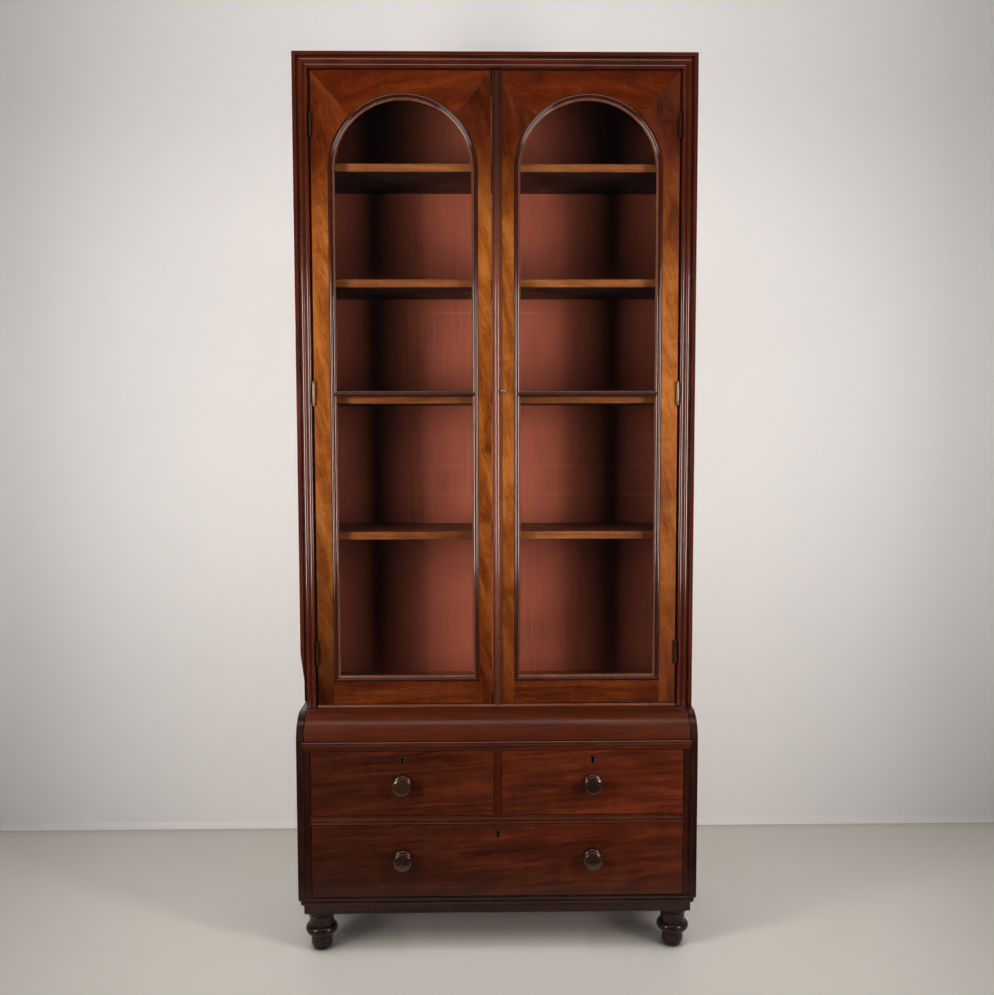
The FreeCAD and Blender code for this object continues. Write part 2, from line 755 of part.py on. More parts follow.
def upper_case():
    """Side boards rebated for the back, top board with head rail, floor board with sill, back."""
    rebate = CASE_INNER + cell("back_rebate")
    pegs = []
    for label, hand in (("left", -1), ("right", 1)):
        outline = [(CASE_OUTER * hand, STOP_PLANE), (CASE_INNER * hand, STOP_PLANE),
                   (CASE_INNER * hand, BACK_BOARD_FRONT), (rebate * hand, BACK_BOARD_FRONT),
                   (rebate * hand, BACK), (CASE_OUTER * hand, BACK)]
        board = prism(f"us_{label}_blank", "plan", outline, cell("base_height"), TOP_BOARD_LOW)
        holes = group(f"us_{label}_holes", peg_rods(hand, f"hole_{label}"))
        node(f"upper_side_{label}", cut(f"us_{label}", board, holes))
        pegs += peg_rods(hand, f"peg_{label}")
    node("shelf_pegs", group("pegs", pegs))
    top = box("ut_board", (-CASE_OUTER, CASE_OUTER), (STOP_PLANE, BACK),
              (TOP_BOARD_LOW, cell("overall_height")))
    head = box("ut_head", (-CASE_INNER, CASE_INNER), (STOP_PLANE, STOP_PLANE + 20),
               (TOP_BOARD_LOW - cell("head_rail_drop"), TOP_BOARD_LOW))
    node("upper_top_board", group("ut", [top, head]))
    low = cell("base_height")
    sill_top = low + cell("sill_height")
    sill_front = UPPER_FRONT + 2
    sill_round = 3
    board = box("ub_board", (-CASE_INNER, CASE_INNER), (STOP_PLANE, BACK_BOARD_FRONT),
                (low, low + cell("upper_bottom_thick")))
    sill = prism("ub_sill", "side",
                 [(sill_front, low), (STOP_PLANE, low), (STOP_PLANE, sill_top),
                  (sill_front + sill_round, sill_top), (sill_front, sill_top - sill_round)],
                 -DOOR_OPENING, DOOR_OPENING, {3: sill_round})
    keep = rod("ub_bolt_hole", "Z", cell("bolt_radius") + cell("bolt_hole_clearance"),
               (bolt_x(), bolt_y(), low), cell("sill_height"))
    node("upper_bottom_board", group("ub", [board, cut("ub_sill_cut", sill, keep)]))
    boards = []
    count = 4
    pitch = rebate * 2 / count
    half_joint = cell("back_joint") / 2
    for number in range(count):
        left = -rebate + pitch * number
        boards.append(box(f"ubk_{number}", (left + half_joint, left + pitch - half_joint),
                          (BACK_BOARD_FRONT, BACK_BOARD_FRONT + cell("back_thick")),
                          (cell("base_height"), TOP_BOARD_LOW)))
    node("upper_back_boards", group("ubk", boards))
    for number, level in enumerate(SHELF_LEVELS, start=1):
        reach = CASE_INNER - cell("shelf_gap")
        front = UPPER_FRONT + cell("shelf_setback")
        low = cell(level)
        high = low + cell("shelf_thick")
        soft = 3
        node(f"shelf_{number}",
             prism(f"sh{number}", "side",
                   [(front, low + soft), (front + soft, low), (BACK_BOARD_FRONT - 1, low),
                    (BACK_BOARD_FRONT - 1, high), (front + soft, high), (front, high - soft)],
                   -reach, reach, {0: soft, 4: soft}))


def moulding_profile(along, depth):
    """Section of the frame moulding, from its outer edge in: fillet, groove, two beads, sunk margin."""
    margin = cell("moulding_width") - cell("moulding_margin")
    sunk = cell("door_recess") + cell("margin_sink")
    return [
        (along(0), depth(cell("moulding_depth"))),
        (along(0), depth(1)),
        (along(1), depth(0)),
        (along(10), depth(0)),
        (along(10.5), depth(5)),
        (along(15.5), depth(5)),
        (along(27), depth(5.5)),
        (along(29.5), depth(6.5)),
        (along(margin), depth(cell("door_recess"))),
        (along(margin + 0.5), depth(sunk)),
        (along(cell("moulding_width")), depth(sunk)),
        (along(cell("moulding_width")), depth(cell("moulding_depth"))),
    ]


def frame_moulding():
    """Mitred moulding round the doors; its outer edge dies away above the chest."""
    bead = 6.4
    small_bead = 6.2
    inner_top = cell("overall_height") - cell("moulding_width")
    low = cell("base_height")
    top = cell("overall_height")
    pieces = []
    for label, hand in (("left", -1), ("right", 1)):
        profile = moulding_profile(lambda d: (HALF_BASE - d) * hand, lambda d: UPPER_FRONT + d)
        run = prism(f"fm_{label}_run", "plan", profile, low, top,
                    {5: -bead * hand, 7: -small_bead * hand})
        outline = [(DOOR_OPENING * hand, low), (DOOR_OPENING * hand, inner_top),
                   (HALF_BASE * hand, top)]
        if hand < 0:
            worn = cell("worn_foot") - HALF_BASE
            chipped = worn + cell("chipped_foot")
            outline += [(-HALF_BASE, low + 155), (worn, low + 75), (worn, low + 20),
                        (chipped, low + 10), (chipped, low)]
        else:
            outline.append((HALF_BASE, low))
        shape = prism(f"fm_{label}_shape", "front", outline, UPPER_FRONT, STOP_PLANE)
        strip = shared(f"fm_{label}_strip", run, shape)
        recesses = [leaf_blank(f"fm_{label}_rec{i}", hand, 1, level)
                    for i, level in enumerate(hinge_levels())]
        pieces.append(cut(f"fm_{label}", strip, group(f"fm_{label}_recs", recesses)))
    profile = moulding_profile(lambda d: top - d, lambda d: UPPER_FRONT + d)
    run = prism("fm_top_run", "side", [(y, z) for z, y in profile], -HALF_BASE, HALF_BASE,
                {5: bead, 7: small_bead})
    outline = [(-HALF_BASE, top), (HALF_BASE, top), (DOOR_OPENING, inner_top),
               (-DOOR_OPENING, inner_top)]
    shape = prism("fm_top_shape", "front", outline, UPPER_FRONT, STOP_PLANE)
    keep = rod("fm_top_hole", "Z", cell("bolt_radius") + cell("bolt_hole_clearance"),
               (bolt_x(), bolt_y(), inner_top), cell("bolt_hole_depth"))
    pieces.append(cut("fm_top", shared("fm_top_strip", run, shape), keep))
    node("frame_moulding", group("fm", pieces))


def hinge_levels():
    return [cell("hinge_level") + cell("hinge_spacing") * step for step in (-1, 0, 1)]


def hinge_axis(hand):
    """Place of a door's hinge axis: in the middle of the gap, clear in front of the door."""
    return (DOOR_OPENING - cell("hinge_gap") / 2) * hand, DOOR_FACE - cell("hinge_stand")


def leaf_blank(name, hand, outward, level):
    """Space of one hinge leaf: outward is 1 in the case and 0 in the door's edge."""
    half = cell("hinge_length") / 2
    thick = cell("leaf_thick")
    if outward:
        near, far = DOOR_OPENING, DOOR_OPENING + thick
    else:
        near, far = DOOR_OPENING - cell("hinge_gap") - thick, DOOR_OPENING - cell("hinge_gap")
    x = (near * hand, far * hand) if hand > 0 else (far * hand, near * hand)
    return box(name, x, (DOOR_FACE, DOOR_FACE + cell("leaf_width")), (level - half, level + half))


def hinge_leaf(name, hand, outward, level):
    """One leaf with its share of the knuckle; the case leaves hold the fixed pin."""
    x, y = hinge_axis(hand)
    half = cell("hinge_length") / 2
    third = cell("hinge_length") / 3
    play = cell("knuckle_play")
    thick = cell("leaf_thick")
    if outward:
        spans = [(level - half, third - play), (level + half - third + play, third - play)]
        near, far = DOOR_OPENING, DOOR_OPENING + thick
    else:
        spans = [(level - third / 2, third)]
        near, far = DOOR_OPENING - cell("hinge_gap") - thick, DOOR_OPENING - cell("hinge_gap")
    web_x = (near * hand, far * hand) if hand > 0 else (far * hand, near * hand)
    pieces = [leaf_blank(f"{name}_leaf", hand, outward, level)]
    for number, (low, length) in enumerate(spans):
        pieces.append(rod(f"{name}_knuckle{number}", "Z", cell("knuckle_radius"), (x, y, low), length))
        pieces.append(box(f"{name}_web{number}", web_x, (y, DOOR_FACE + 1), (low, low + length)))
    if outward:
        pieces.append(rod(f"{name}_pin", "Z", cell("pin_radius"), (x, y, level - half), half * 2))
        return fused(name, pieces)
    bore = rod(f"{name}_bore", "Z", cell("pin_radius") + cell("pin_clearance"),
               (x, y, level - half), half * 2)
    return cut(name, fused(f"{name}_solid", pieces), bore)


def door_edges(hand):
    """Hinge edge, meeting edge and the two sides of the pane opening of one door."""
    hinge_edge = (DOOR_OPENING - cell("hinge_gap")) * hand
    if hand < 0:
        meeting_edge = -cell("strip_left") - cell("meeting_gap")
    else:
        meeting_edge = -cell("strip_left")
    pane_outer = (DOOR_OPENING - cell("hinge_gap") - cell("stile_width")) * hand
    return hinge_edge, meeting_edge, pane_outer, cell("pane_inner_edge") * hand


DOOR_LOW = cell("base_height") + cell("sill_height") + cell("door_top_gap")
DOOR_HIGH = cell("overall_height") - cell("moulding_width") - cell("door_top_gap")
PANE_LOW = DOOR_LOW + cell("bottom_rail_height")


def arch(hand):
    """Centre and radius of the arched head of the pane opening."""
    _, _, pane_outer, pane_inner = door_edges(hand)
    return (pane_outer + pane_inner) / 2, (pane_inner - pane_outer) / 2 * -hand


def bead_profile(along):
    """Section of the glazing bead: a proud round, a hollow and a thin inner fillet at the glass."""
    face = DOOR_FACE
    glass = DOOR_FACE + cell("glass_setback")
    return [
        (along(0), glass),
        (along(0), face),
        (along(1), face - 1),
        (along(8), face - 1.5),
        (along(9), face),
        (along(14.5), face + 5),
        (along(15), face + 4.5),
        (along(cell("bead_width")), face + 5),
        (along(cell("bead_width")), glass),
    ]


def glazing_bead(name, hand):
    """Moulded bead round the pane opening, the beads behind the glass and the glazing bar."""
    _, _, pane_outer, pane_inner = door_edges(hand)
    centre, radius = arch(hand)
    level = cell("arch_level")
    width = cell("bead_width")
    face = DOOR_FACE
    glass = face + cell("glass_setback")
    left, right = (pane_outer, pane_inner) if hand < 0 else (pane_inner, pane_outer)
    proud_round = 4.2
    hollow = 5
    strips = []
    for label, edge, inward in (("a", left, 1), ("b", right, -1)):
        run = prism(f"{name}_{label}_run", "plan", bead_profile(lambda d: edge + d * inward),
                    PANE_LOW, level, {2: -proud_round * -inward, 4: -hollow * inward})
        shape = prism(f"{name}_{label}_shape", "front",
                      [(edge, PANE_LOW), (edge + width * inward, PANE_LOW + width),
                       (edge + width * inward, level), (edge, level)], face - 4, glass)
        strips.append(shared(f"{name}_{label}", run, shape))
    profile = [(y, z) for z, y in bead_profile(lambda d: PANE_LOW + d)]
    run = prism(f"{name}_c_run", "side", profile, left, right,
                {2: -proud_round, 4: hollow})
    shape = prism(f"{name}_c_shape", "front",
                  [(left, PANE_LOW), (right, PANE_LOW), (right - width, PANE_LOW + width),
                   (left + width, PANE_LOW + width)], face - 4, glass)
    strips.append(shared(f"{name}_c", run, shape))
    head = turned(f"{name}_head", bead_profile(lambda d: radius - d),
                  {2: -proud_round, 4: hollow}, "XY_Plane", 180)
    move(head, centre, 0, level)
    strips.append(head)
    back_width = 11
    behind = glass + cell("glass_thick")
    rings = []
    for label, inset in (("out", 0), ("in", back_width)):
        reach = radius - inset
        rings.append(prism(f"{name}_ring_{label}", "front",
                           [(left + inset, PANE_LOW + inset), (right - inset, PANE_LOW + inset),
                            (right - inset, level), (centre, level + reach), (left + inset, level)],
                           behind, DOOR_BACK, {2: reach, 3: reach}))
    bar = cell("bar_level")
    half = width / 2
    half_tongue = cell("bar_tongue") / 2
    near = left + half
    far = right - half
    bar_run = prism(f"{name}_bar_run", "side",
                    [(glass, bar - half), (glass, bar + half), (face + 5, bar + half),
                     (face + 4.5, bar + half - 2), (face - 1, bar + 3), (face - 1, bar - 3),
                     (face + 4.5, bar - half + 2), (face + 5, bar - half)],
                    near, far, {3: -6, 4: 4, 5: -6})
    bar_points = prism(f"{name}_bar_points", "front",
                       [(near, bar), (near + half, bar - half), (far - half, bar - half), (far, bar),
                        (far - half, bar + half), (near + half, bar + half)], face - 4, glass)
    tongue = box(f"{name}_tongue", (left + width, right - width), (glass, behind + 3),
                 (bar - half_tongue, bar + half_tongue))
    glazing_bar = fused(f"{name}_bar", [shared(f"{name}_bar_front", bar_run, bar_points), tongue])
    notched = cut(f"{name}_front", fused(f"{name}_strips", strips), glazing_bar)
    return group(name, [notched, cut(f"{name}_back", *rings), glazing_bar])


def panes(name, hand):
    """Arched upper pane and square lower pane."""
    _, _, pane_outer, pane_inner = door_edges(hand)
    centre, radius = arch(hand)
    left, right = (pane_outer, pane_inner) if hand < 0 else (pane_inner, pane_outer)
    clear = cell("glass_clearance")
    near = DOOR_FACE + cell("glass_setback")
    far = near + cell("glass_thick")
    split = cell("bar_tongue") / 2 + 0.5
    bar = cell("bar_level")
    reach = radius - clear
    upper = prism(f"{name}_upper", "front",
                  [(left + clear, bar + split), (right - clear, bar + split),
                   (right - clear, cell("arch_level")), (centre, cell("arch_level") + reach),
                   (left + clear, cell("arch_level"))], near, far, {2: reach, 3: reach})
    lower = box(f"{name}_lower", (left + clear, right - clear), (near, far),
                (PANE_LOW + clear, bar - split))
    return group(name, [upper, lower])


def door(label, hand):
    """One glazed door: stiles and arched head mitred from the corners to the arch, beads, panes."""
    hinge_edge, meeting_edge, pane_outer, pane_inner = door_edges(hand)
    centre, radius = arch(hand)
    level = cell("arch_level")
    shoulder = radius * math.sqrt(0.5)
    outer_x = centre + shoulder * hand
    inner_x = centre - shoulder * hand
    shoulder_z = level + shoulder
    name = f"d{label[0]}"
    stile = prism(f"{name}_hs", "front",
                  [(hinge_edge, DOOR_LOW), (pane_outer, DOOR_LOW), (pane_outer, level),
                   (outer_x, shoulder_z), (hinge_edge, DOOR_HIGH)],
                  DOOR_FACE, DOOR_BACK, {2: radius * hand})
    recesses = group(f"{name}_hs_recs", [leaf_blank(f"{name}_hs_rec{i}", hand, 0, z)
                                         for i, z in enumerate(hinge_levels())])
    node(f"{label}_door_hinge_stile", cut(f"{name}_hs_cut", stile, recesses))
    meeting = prism(f"{name}_ms", "front",
                    [(meeting_edge, DOOR_LOW), (pane_inner, DOOR_LOW), (pane_inner, level),
                     (inner_x, shoulder_z), (meeting_edge, DOOR_HIGH)],
                    DOOR_FACE, DOOR_BACK, {2: radius * -hand})
    cutters = left_meeting_cutters() if hand < 0 else right_meeting_cutters()
    node(f"{label}_door_meeting_stile",
         cut(f"{name}_ms_cut", meeting, group(f"{name}_ms_cutters", cutters)))
    rail = prism(f"{name}_tr", "front",
                 [(hinge_edge, DOOR_HIGH), (outer_x, shoulder_z), (inner_x, shoulder_z),
                  (meeting_edge, DOOR_HIGH)],
                 DOOR_FACE, DOOR_BACK, {1: radius * hand})
    if hand < 0:
        depth = 20
        mitred_bore = rod(f"{name}_tr_bore", "Z", cell("bolt_radius") + cell("bolt_clearance"),
                          (bolt_x(), bolt_y(), DOOR_HIGH - depth), depth)
        rail = cut(f"{name}_tr_cut", rail, mitred_bore)
    node(f"{label}_door_top_rail", rail)
    left, right = (pane_outer, pane_inner) if hand < 0 else (pane_inner, pane_outer)
    node(f"{label}_door_bottom_rail",
         box(f"{name}_br", (left, right), (DOOR_FACE, DOOR_BACK), (DOOR_LOW, PANE_LOW)))
    node(f"{label}_door_glazing_bead", glazing_bead(f"{name}_gb", hand))
    node(f"{label}_door_glass", panes(f"{name}_gl", hand))


def bolt_x():
    _, meeting_edge, _, _ = door_edges(-1)
    return meeting_edge - cell("bolt_inset")


def bolt_y():
    return DOOR_FACE + cell("door_thick") / 2


def bolt_spans(top):
    """Levels of one flush bolt: rod, slot, plate, thumb and window, each low and high."""
    tip = DOOR_HIGH - 1 if top else DOOR_LOW + 1
    inward = -1 if top else 1
    foot = tip + cell("bolt_length") * inward
    plate_lap = 14
    half_thumb = 6
    half_window = half_thumb + 1
    plate_far = foot - (cell("bolt_plate_length") - plate_lap) * inward
    plate_near = foot + plate_lap * inward
    thumb = foot - 22 * inward
    travel = cell("bolt_travel") * -inward
    if top:
        window = (thumb - half_window, thumb + half_window + travel)
    else:
        window = (thumb - half_window + travel, thumb + half_window)
    spans = {
        "rod": (tip, foot),
        "bore": (tip - inward * 2, foot + inward),
        "plate": (plate_near, plate_far),
        "slot": (foot + inward * 4, plate_far + 6 * inward),
        "thumb": (thumb - half_thumb, thumb + half_thumb),
        "window": window,
    }
    return {key: (a, b) if a.value < b.value else (b, a) for key, (a, b) in spans.items()}


def left_meeting_cutters():
    """Bores, slots and plate seats of the two flush bolts, and the mortise for the lock bolt."""
    _, meeting_edge, _, _ = door_edges(-1)
    x, y = bolt_x(), bolt_y()
    radius = cell("bolt_radius") + cell("bolt_clearance")
    half_plate = cell("bolt_plate_width") / 2
    cutters = []
    for label, top in (("top", True), ("low", False)):
        spans = bolt_spans(top)
        low, high = spans["bore"]
        cutters.append(rod(f"lb_{label}_bore", "Z", radius, (x, y, low), high - low))
        cutters.append(box(f"lb_{label}_slot", (x - radius, meeting_edge), (y - radius, y + radius),
                           spans["slot"]))
        cutters.append(box(f"lb_{label}_seat", (meeting_edge - 1.5, meeting_edge),
                           (y - half_plate, y + half_plate), spans["plate"]))
    front = DOOR_FACE + cell("lock_front")
    half = cell("lock_bolt_height") / 2 + 1
    cutters.append(box("lb_mortise", (meeting_edge - 8, meeting_edge), (front + 1, front + 8),
                       (cell("lock_level") - half, cell("lock_level") + half)))
    return cutters


def right_meeting_cutters():
    """Mortise for the lock case and the hole for the key."""
    _, meeting_edge, _, _ = door_edges(1)
    front = DOOR_FACE + cell("lock_front")
    half = cell("lock_height") / 2
    level = cell("lock_level")
    return [box("rl_mortise", (meeting_edge, meeting_edge + cell("lock_length")),
                (front, front + cell("lock_thick")), (level - half, level + half)),
            rod("rl_key_hole", "Y", cell("key_shaft_radius") + 0.5,
                (cell("key_offset"), DOOR_FACE, level), cell("lock_front"))]


def flush_bolts():
    """Brass flush bolts that hold the left door at head and foot, with their slotted plates."""
    _, meeting_edge, _, _ = door_edges(-1)
    x, y = bolt_x(), bolt_y()
    half_plate = cell("bolt_plate_width") / 2
    thumb_half = 2
    plates = []
    for label, name in (("top", "left_door_top_bolt"), ("low", "left_door_bottom_bolt")):
        spans = bolt_spans(label == "top")
        plate = box(f"fb_{label}_plate", (meeting_edge - 1.5, meeting_edge),
                    (y - half_plate, y + half_plate), spans["plate"])
        window = box(f"fb_{label}_window", (meeting_edge - 1.5, meeting_edge),
                     (y - thumb_half - 0.3, y + thumb_half + 0.3), spans["window"])
        plates.append(cut(f"fb_{label}_slotted", plate, window))
        low, high = spans["rod"]
        shaft = rod(f"fb_{label}_rod", "Z", cell("bolt_radius"), (x, y, low), high - low)
        thumb = box(f"fb_{label}_thumb", (x, meeting_edge + 0.5), (y - thumb_half, y + thumb_half),
                    spans["thumb"])
        node(name, fused(f"fb_{label}", [shaft, thumb]))
    return plates


def lock_and_key():
    """Mortised door lock with its sliding bolt, and the key that turns in it."""
    _, edge, _, _ = door_edges(1)
    level = cell("lock_level")
    wall = cell("lock_wall")
    front = DOOR_FACE + cell("lock_front")
    back = front + cell("lock_thick")
    half = cell("lock_height") / 2
    far = edge + cell("lock_length")
    key_x = cell("key_offset")
    shaft = cell("key_shaft_radius")
    running = shaft + cell("pin_clearance")
    half_bolt = cell("lock_bolt_height") / 2
    throw = cell("lock_bolt_throw")
    bolt_front = front + 2.5
    bolt_back = bolt_front + 4
    slack = 0.3
    case = box("lk_outer", (edge, far), (front, back), (level - half, level + half))
    hollow = box("lk_hollow", (edge + wall, far - wall), (front + wall, back - wall),
                 (level - half + wall, level + half - wall))
    window = box("lk_window", (edge, edge + wall), (bolt_front - slack, bolt_back + slack),
                 (level - half_bolt - slack, level + half_bolt + slack))
    key_bore = rod("lk_key_bore", "Y", running, (key_x, front, level), cell("lock_thick"))
    node("door_lock_case", cut("lk_case", case, group("lk_inside", [hollow, window, key_bore])))
    bar = box("lk_bar", (edge + 0.5, edge + 45), (bolt_front, bolt_back),
              (level - half_bolt, level + half_bolt))
    slot_half = shaft + 0.5
    slot = box("lk_slot", (key_x - slot_half, key_x + slot_half + throw), (bolt_front, bolt_back),
               (level - slot_half, level + slot_half))
    node("door_lock_bolt", cut("lk_bolt", bar, slot))
    bit = box("ky_bit", (key_x, key_x + cell("key_bit_radius")), (front + 7.5, front + 10.5),
              (level - 1, level + 1))
    tail = back - slack
    bow_y = DOOR_FACE - cell("key_reach") - cell("key_bow_radius")
    stem_start = bow_y + cell("key_bow_radius")
    stem = rod("ky_stem", "Y", shaft, (key_x, stem_start, level), tail - stem_start)
    collar = rod("ky_collar", "Y", shaft + 1.5, (key_x, DOOR_FACE - 13, level), 3)
    bow = doc.addObject("Part::Torus", "ky_bow")
    bind(bow, "Radius1", cell("key_bow_radius"))
    bind(bow, "Radius2", cell("key_wire_radius"))
    move(bow, key_x, bow_y, level)
    node("door_key", fused("ky", [stem, collar, bit, bow]))


def astragal():
    """Beaded strip planted on the right door's meeting stile, over the meeting of the doors."""
    left = -cell("strip_left")
    right = cell("strip_right")
    flat = cell("strip_flat")
    face = DOOR_FACE
    node("astragal", prism("ag", "plan",
                           [(left, face), (left, face - 2), (left + flat, face - 2),
                            (right - flat, face - 2), (right, face - 2), (right, face)],
                           DOOR_LOW, DOOR_HIGH, {2: 8.1}))


def hinges():
    case_leaves = []
    for label, hand in (("l", -1), ("r", 1)):
        for number, level in enumerate(hinge_levels()):
            case_leaves.append(hinge_leaf(f"hc_{label}{number}", hand, 1, level))
    node("case_hinge_leaves", group("hc", case_leaves))
    left = [hinge_leaf(f"hd_l{number}", -1, 0, level) for number, level in enumerate(hinge_levels())]
    right = [hinge_leaf(f"hd_r{number}", 1, 0, level) for number, level in enumerate(hinge_levels())]
    node("left_door_fittings", group("hd_l", left + flush_bolts()))
    node("right_door_hinge_leaves", group("hd_r", right))


base_sides()
base_boards()
base_moulding()
plinth_and_feet()
base_rails()
drawer_runners()
drawers()
cushion_drawer()
upper_case()
frame_moulding()
door("left", -1)
door("right", 1)
astragal()
lock_and_key()
hinges()

doc.recompute()

for item in doc.Objects:
    if any(mark in item.State for mark in ("Invalid", "Error")):
        raise RuntimeError(f"{item.Name} ({item.Label}) is {item.State}")
for item in NODES:
    if item.Shape.isNull() or not item.Shape.isValid():
        raise RuntimeError(f"{item.Label} has no valid shape")
if len({item.Label for item in NODES}) != len(NODES):
    raise RuntimeError("two sub-parts share one label")
for item in NODES:
    item.Shape.exportStep(f"parts/{item.Label}.step")
    print(f"{item.Label}: {len(item.Shape.Solids)} solids, {item.Shape.Volume / 1000:.1f} cm3")
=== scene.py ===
"""Looks of the display cabinet: polished mahogany, painted back, glass, brass and soft light."""

import math

import bpy
from mathutils import Matrix, Vector


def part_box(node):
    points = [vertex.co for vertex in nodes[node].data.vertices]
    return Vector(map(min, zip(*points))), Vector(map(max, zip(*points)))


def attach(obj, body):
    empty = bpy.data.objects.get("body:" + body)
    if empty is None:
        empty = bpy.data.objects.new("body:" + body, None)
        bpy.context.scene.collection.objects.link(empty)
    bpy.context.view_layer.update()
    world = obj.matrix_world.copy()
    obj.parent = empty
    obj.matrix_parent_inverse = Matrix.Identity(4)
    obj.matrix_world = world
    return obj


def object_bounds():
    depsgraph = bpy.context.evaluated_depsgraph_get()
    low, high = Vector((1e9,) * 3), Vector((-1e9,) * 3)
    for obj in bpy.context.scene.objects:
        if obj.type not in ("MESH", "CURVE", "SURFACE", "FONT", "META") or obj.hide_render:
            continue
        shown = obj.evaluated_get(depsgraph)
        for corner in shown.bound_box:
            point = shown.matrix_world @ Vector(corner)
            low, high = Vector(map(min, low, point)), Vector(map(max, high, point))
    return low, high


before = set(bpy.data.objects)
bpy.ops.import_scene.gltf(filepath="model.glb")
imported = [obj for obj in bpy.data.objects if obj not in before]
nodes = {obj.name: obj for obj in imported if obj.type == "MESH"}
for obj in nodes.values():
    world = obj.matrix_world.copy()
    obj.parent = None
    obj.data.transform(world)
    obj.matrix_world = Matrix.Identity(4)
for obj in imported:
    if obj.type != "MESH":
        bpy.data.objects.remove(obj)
cad_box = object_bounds()
scene = bpy.context.scene


# Colours and node helpers

def srgb(r, g, b):
    """A colour picked as 0 to 255 numbers, as the linear values that the nodes take."""
    def line(v):
        v /= 255
        return v / 12.92 if v <= 0.04045 else ((v + 0.055) / 1.055) ** 2.4
    return (line(r), line(g), line(b))


def opaque(colour, level=1.0):
    """A colour at a share of its strength, with the alpha that a colour socket takes."""
    return (*(v * level for v in colour), 1.0)


class Tree:
    """Short ways to add nodes to one material or world and link them."""

    def __init__(self, owner):
        self.owner = owner
        owner.use_nodes = True
        self.nodes = owner.node_tree.nodes
        self.links = owner.node_tree.links
        self.nodes.clear()

    def add(self, kind, **settings):
        made = self.nodes.new(kind)
        for key, value in settings.items():
            setattr(made, key, value)
        return made

    def feed(self, socket, value):
        """Links a socket to another node's output, or sets its plain value."""
        if isinstance(value, bpy.types.NodeSocket):
            self.links.new(value, socket)
        else:
            socket.default_value = value

    def math(self, operation, a, b=0.0, clamp=False):
        made = self.add("ShaderNodeMath", operation=operation, use_clamp=clamp)
        self.feed(made.inputs[0], a)
        self.feed(made.inputs[1], b)
        return made.outputs[0]

    def vector(self, operation, a, b):
        made = self.add("ShaderNodeVectorMath", operation=operation)
        self.feed(made.inputs[0], a)
        self.feed(made.inputs[1], b)
        return made.outputs[0]

    def place(self):
        """Coordinates that stay fixed to the object when it moves."""
        return self.add("ShaderNodeTexCoord").outputs["Object"]

    def place_along(self, axis):
        split = self.add("ShaderNodeSeparateXYZ")
        self.feed(split.inputs[0], self.place())
        return split.outputs[axis]

    def mapped(self, vector, scale=(1, 1, 1), rotation=(0, 0, 0)):
        made = self.add("ShaderNodeMapping")
        self.feed(made.inputs["Vector"], vector)
        made.inputs["Scale"].default_value = scale
        made.inputs["Rotation"].default_value = rotation
        return made.outputs["Vector"]

    def noise(self, vector, scale, detail=4.0, rough=0.55, distortion=0.0, output="Fac"):
        made = self.add("ShaderNodeTexNoise")
        self.feed(made.inputs["Vector"], vector)
        made.inputs["Scale"].default_value = scale
        made.inputs["Detail"].default_value = detail
        made.inputs["Roughness"].default_value = rough
        made.inputs["Distortion"].default_value = distortion
        return made.outputs[output]

    def ramp(self, fac, stops):
        """A colour from stops of (place, colour)."""
        made = self.add("ShaderNodeValToRGB")
        self.feed(made.inputs["Fac"], fac)
        elements = made.color_ramp.elements
        while len(elements) < len(stops):
            elements.new(0.5)
        for element, (place, colour) in zip(elements, stops):
            element.position = place
            element.color = opaque(colour)
        return made.outputs["Color"]

    def span(self, value, low, high, to_low=0.0, to_high=1.0):
        """A value between low and high, carried over to the same place between two others."""
        made = self.add("ShaderNodeMapRange", clamp=True)
        self.feed(made.inputs["Value"], value)
        limits = {"From Min": low, "From Max": high, "To Min": to_low, "To Max": to_high}
        for key, number in limits.items():
            made.inputs[key].default_value = number
        return made.outputs["Result"]

    def mix(self, fac, a, b, blend="MIX"):
        made = self.add("ShaderNodeMix", data_type="RGBA", blend_type=blend)
        self.feed(made.inputs["Factor"], fac)
        self.feed(made.inputs["A"], a)
        self.feed(made.inputs["B"], b)
        return made.outputs["Result"]

    def openness(self, reach, samples=4):
        """1 in the open, and less where something stands nearer than reach."""
        made = self.add("ShaderNodeAmbientOcclusion", samples=samples)
        made.inputs["Distance"].default_value = reach
        return made.outputs["AO"]

    def bump(self, height, strength, distance, normal=None):
        made = self.add("ShaderNodeBump")
        made.inputs["Strength"].default_value = strength
        made.inputs["Distance"].default_value = distance
        self.feed(made.inputs["Height"], height)
        if normal is not None:
            self.feed(made.inputs["Normal"], normal)
        return made.outputs["Normal"]

    def shader(self, colour, rough, normal=None, **values):
        """The main shader; values are its other sockets, with _ for each space."""
        made = self.add("ShaderNodeBsdfPrincipled")
        self.feed(made.inputs["Base Color"], colour)
        self.feed(made.inputs["Roughness"], rough)
        if normal is not None:
            self.feed(made.inputs["Normal"], normal)
        for key, value in values.items():
            self.feed(made.inputs[key.replace("_", " ")], value)
        return made

    def part_clear(self, shader, share, tint=(1.0, 1.0, 1.0, 1.0)):
        """A shader that gives way to a plain see-through one by the given share."""
        clear = self.add("ShaderNodeBsdfTransparent")
        clear.inputs["Color"].default_value = tint
        both = self.add("ShaderNodeMixShader")
        self.feed(both.inputs[0], share)
        self.links.new(shader.outputs[0], both.inputs[1])
        self.links.new(clear.outputs[0], both.inputs[2])
        return both

    def finish(self, shader, kind="ShaderNodeOutputMaterial"):
        out = self.add(kind)
        self.links.new(shader.outputs[0], out.inputs["Surface"])
        return self.owner


def material_tree(name):
    return Tree(bpy.data.materials.new(name))


# How far the noise space of one object, and of one board, lies from the next
OBJECT_SHIFT = (17.3, 11.9, 23.7)
BOARD_SHIFT = 0.37


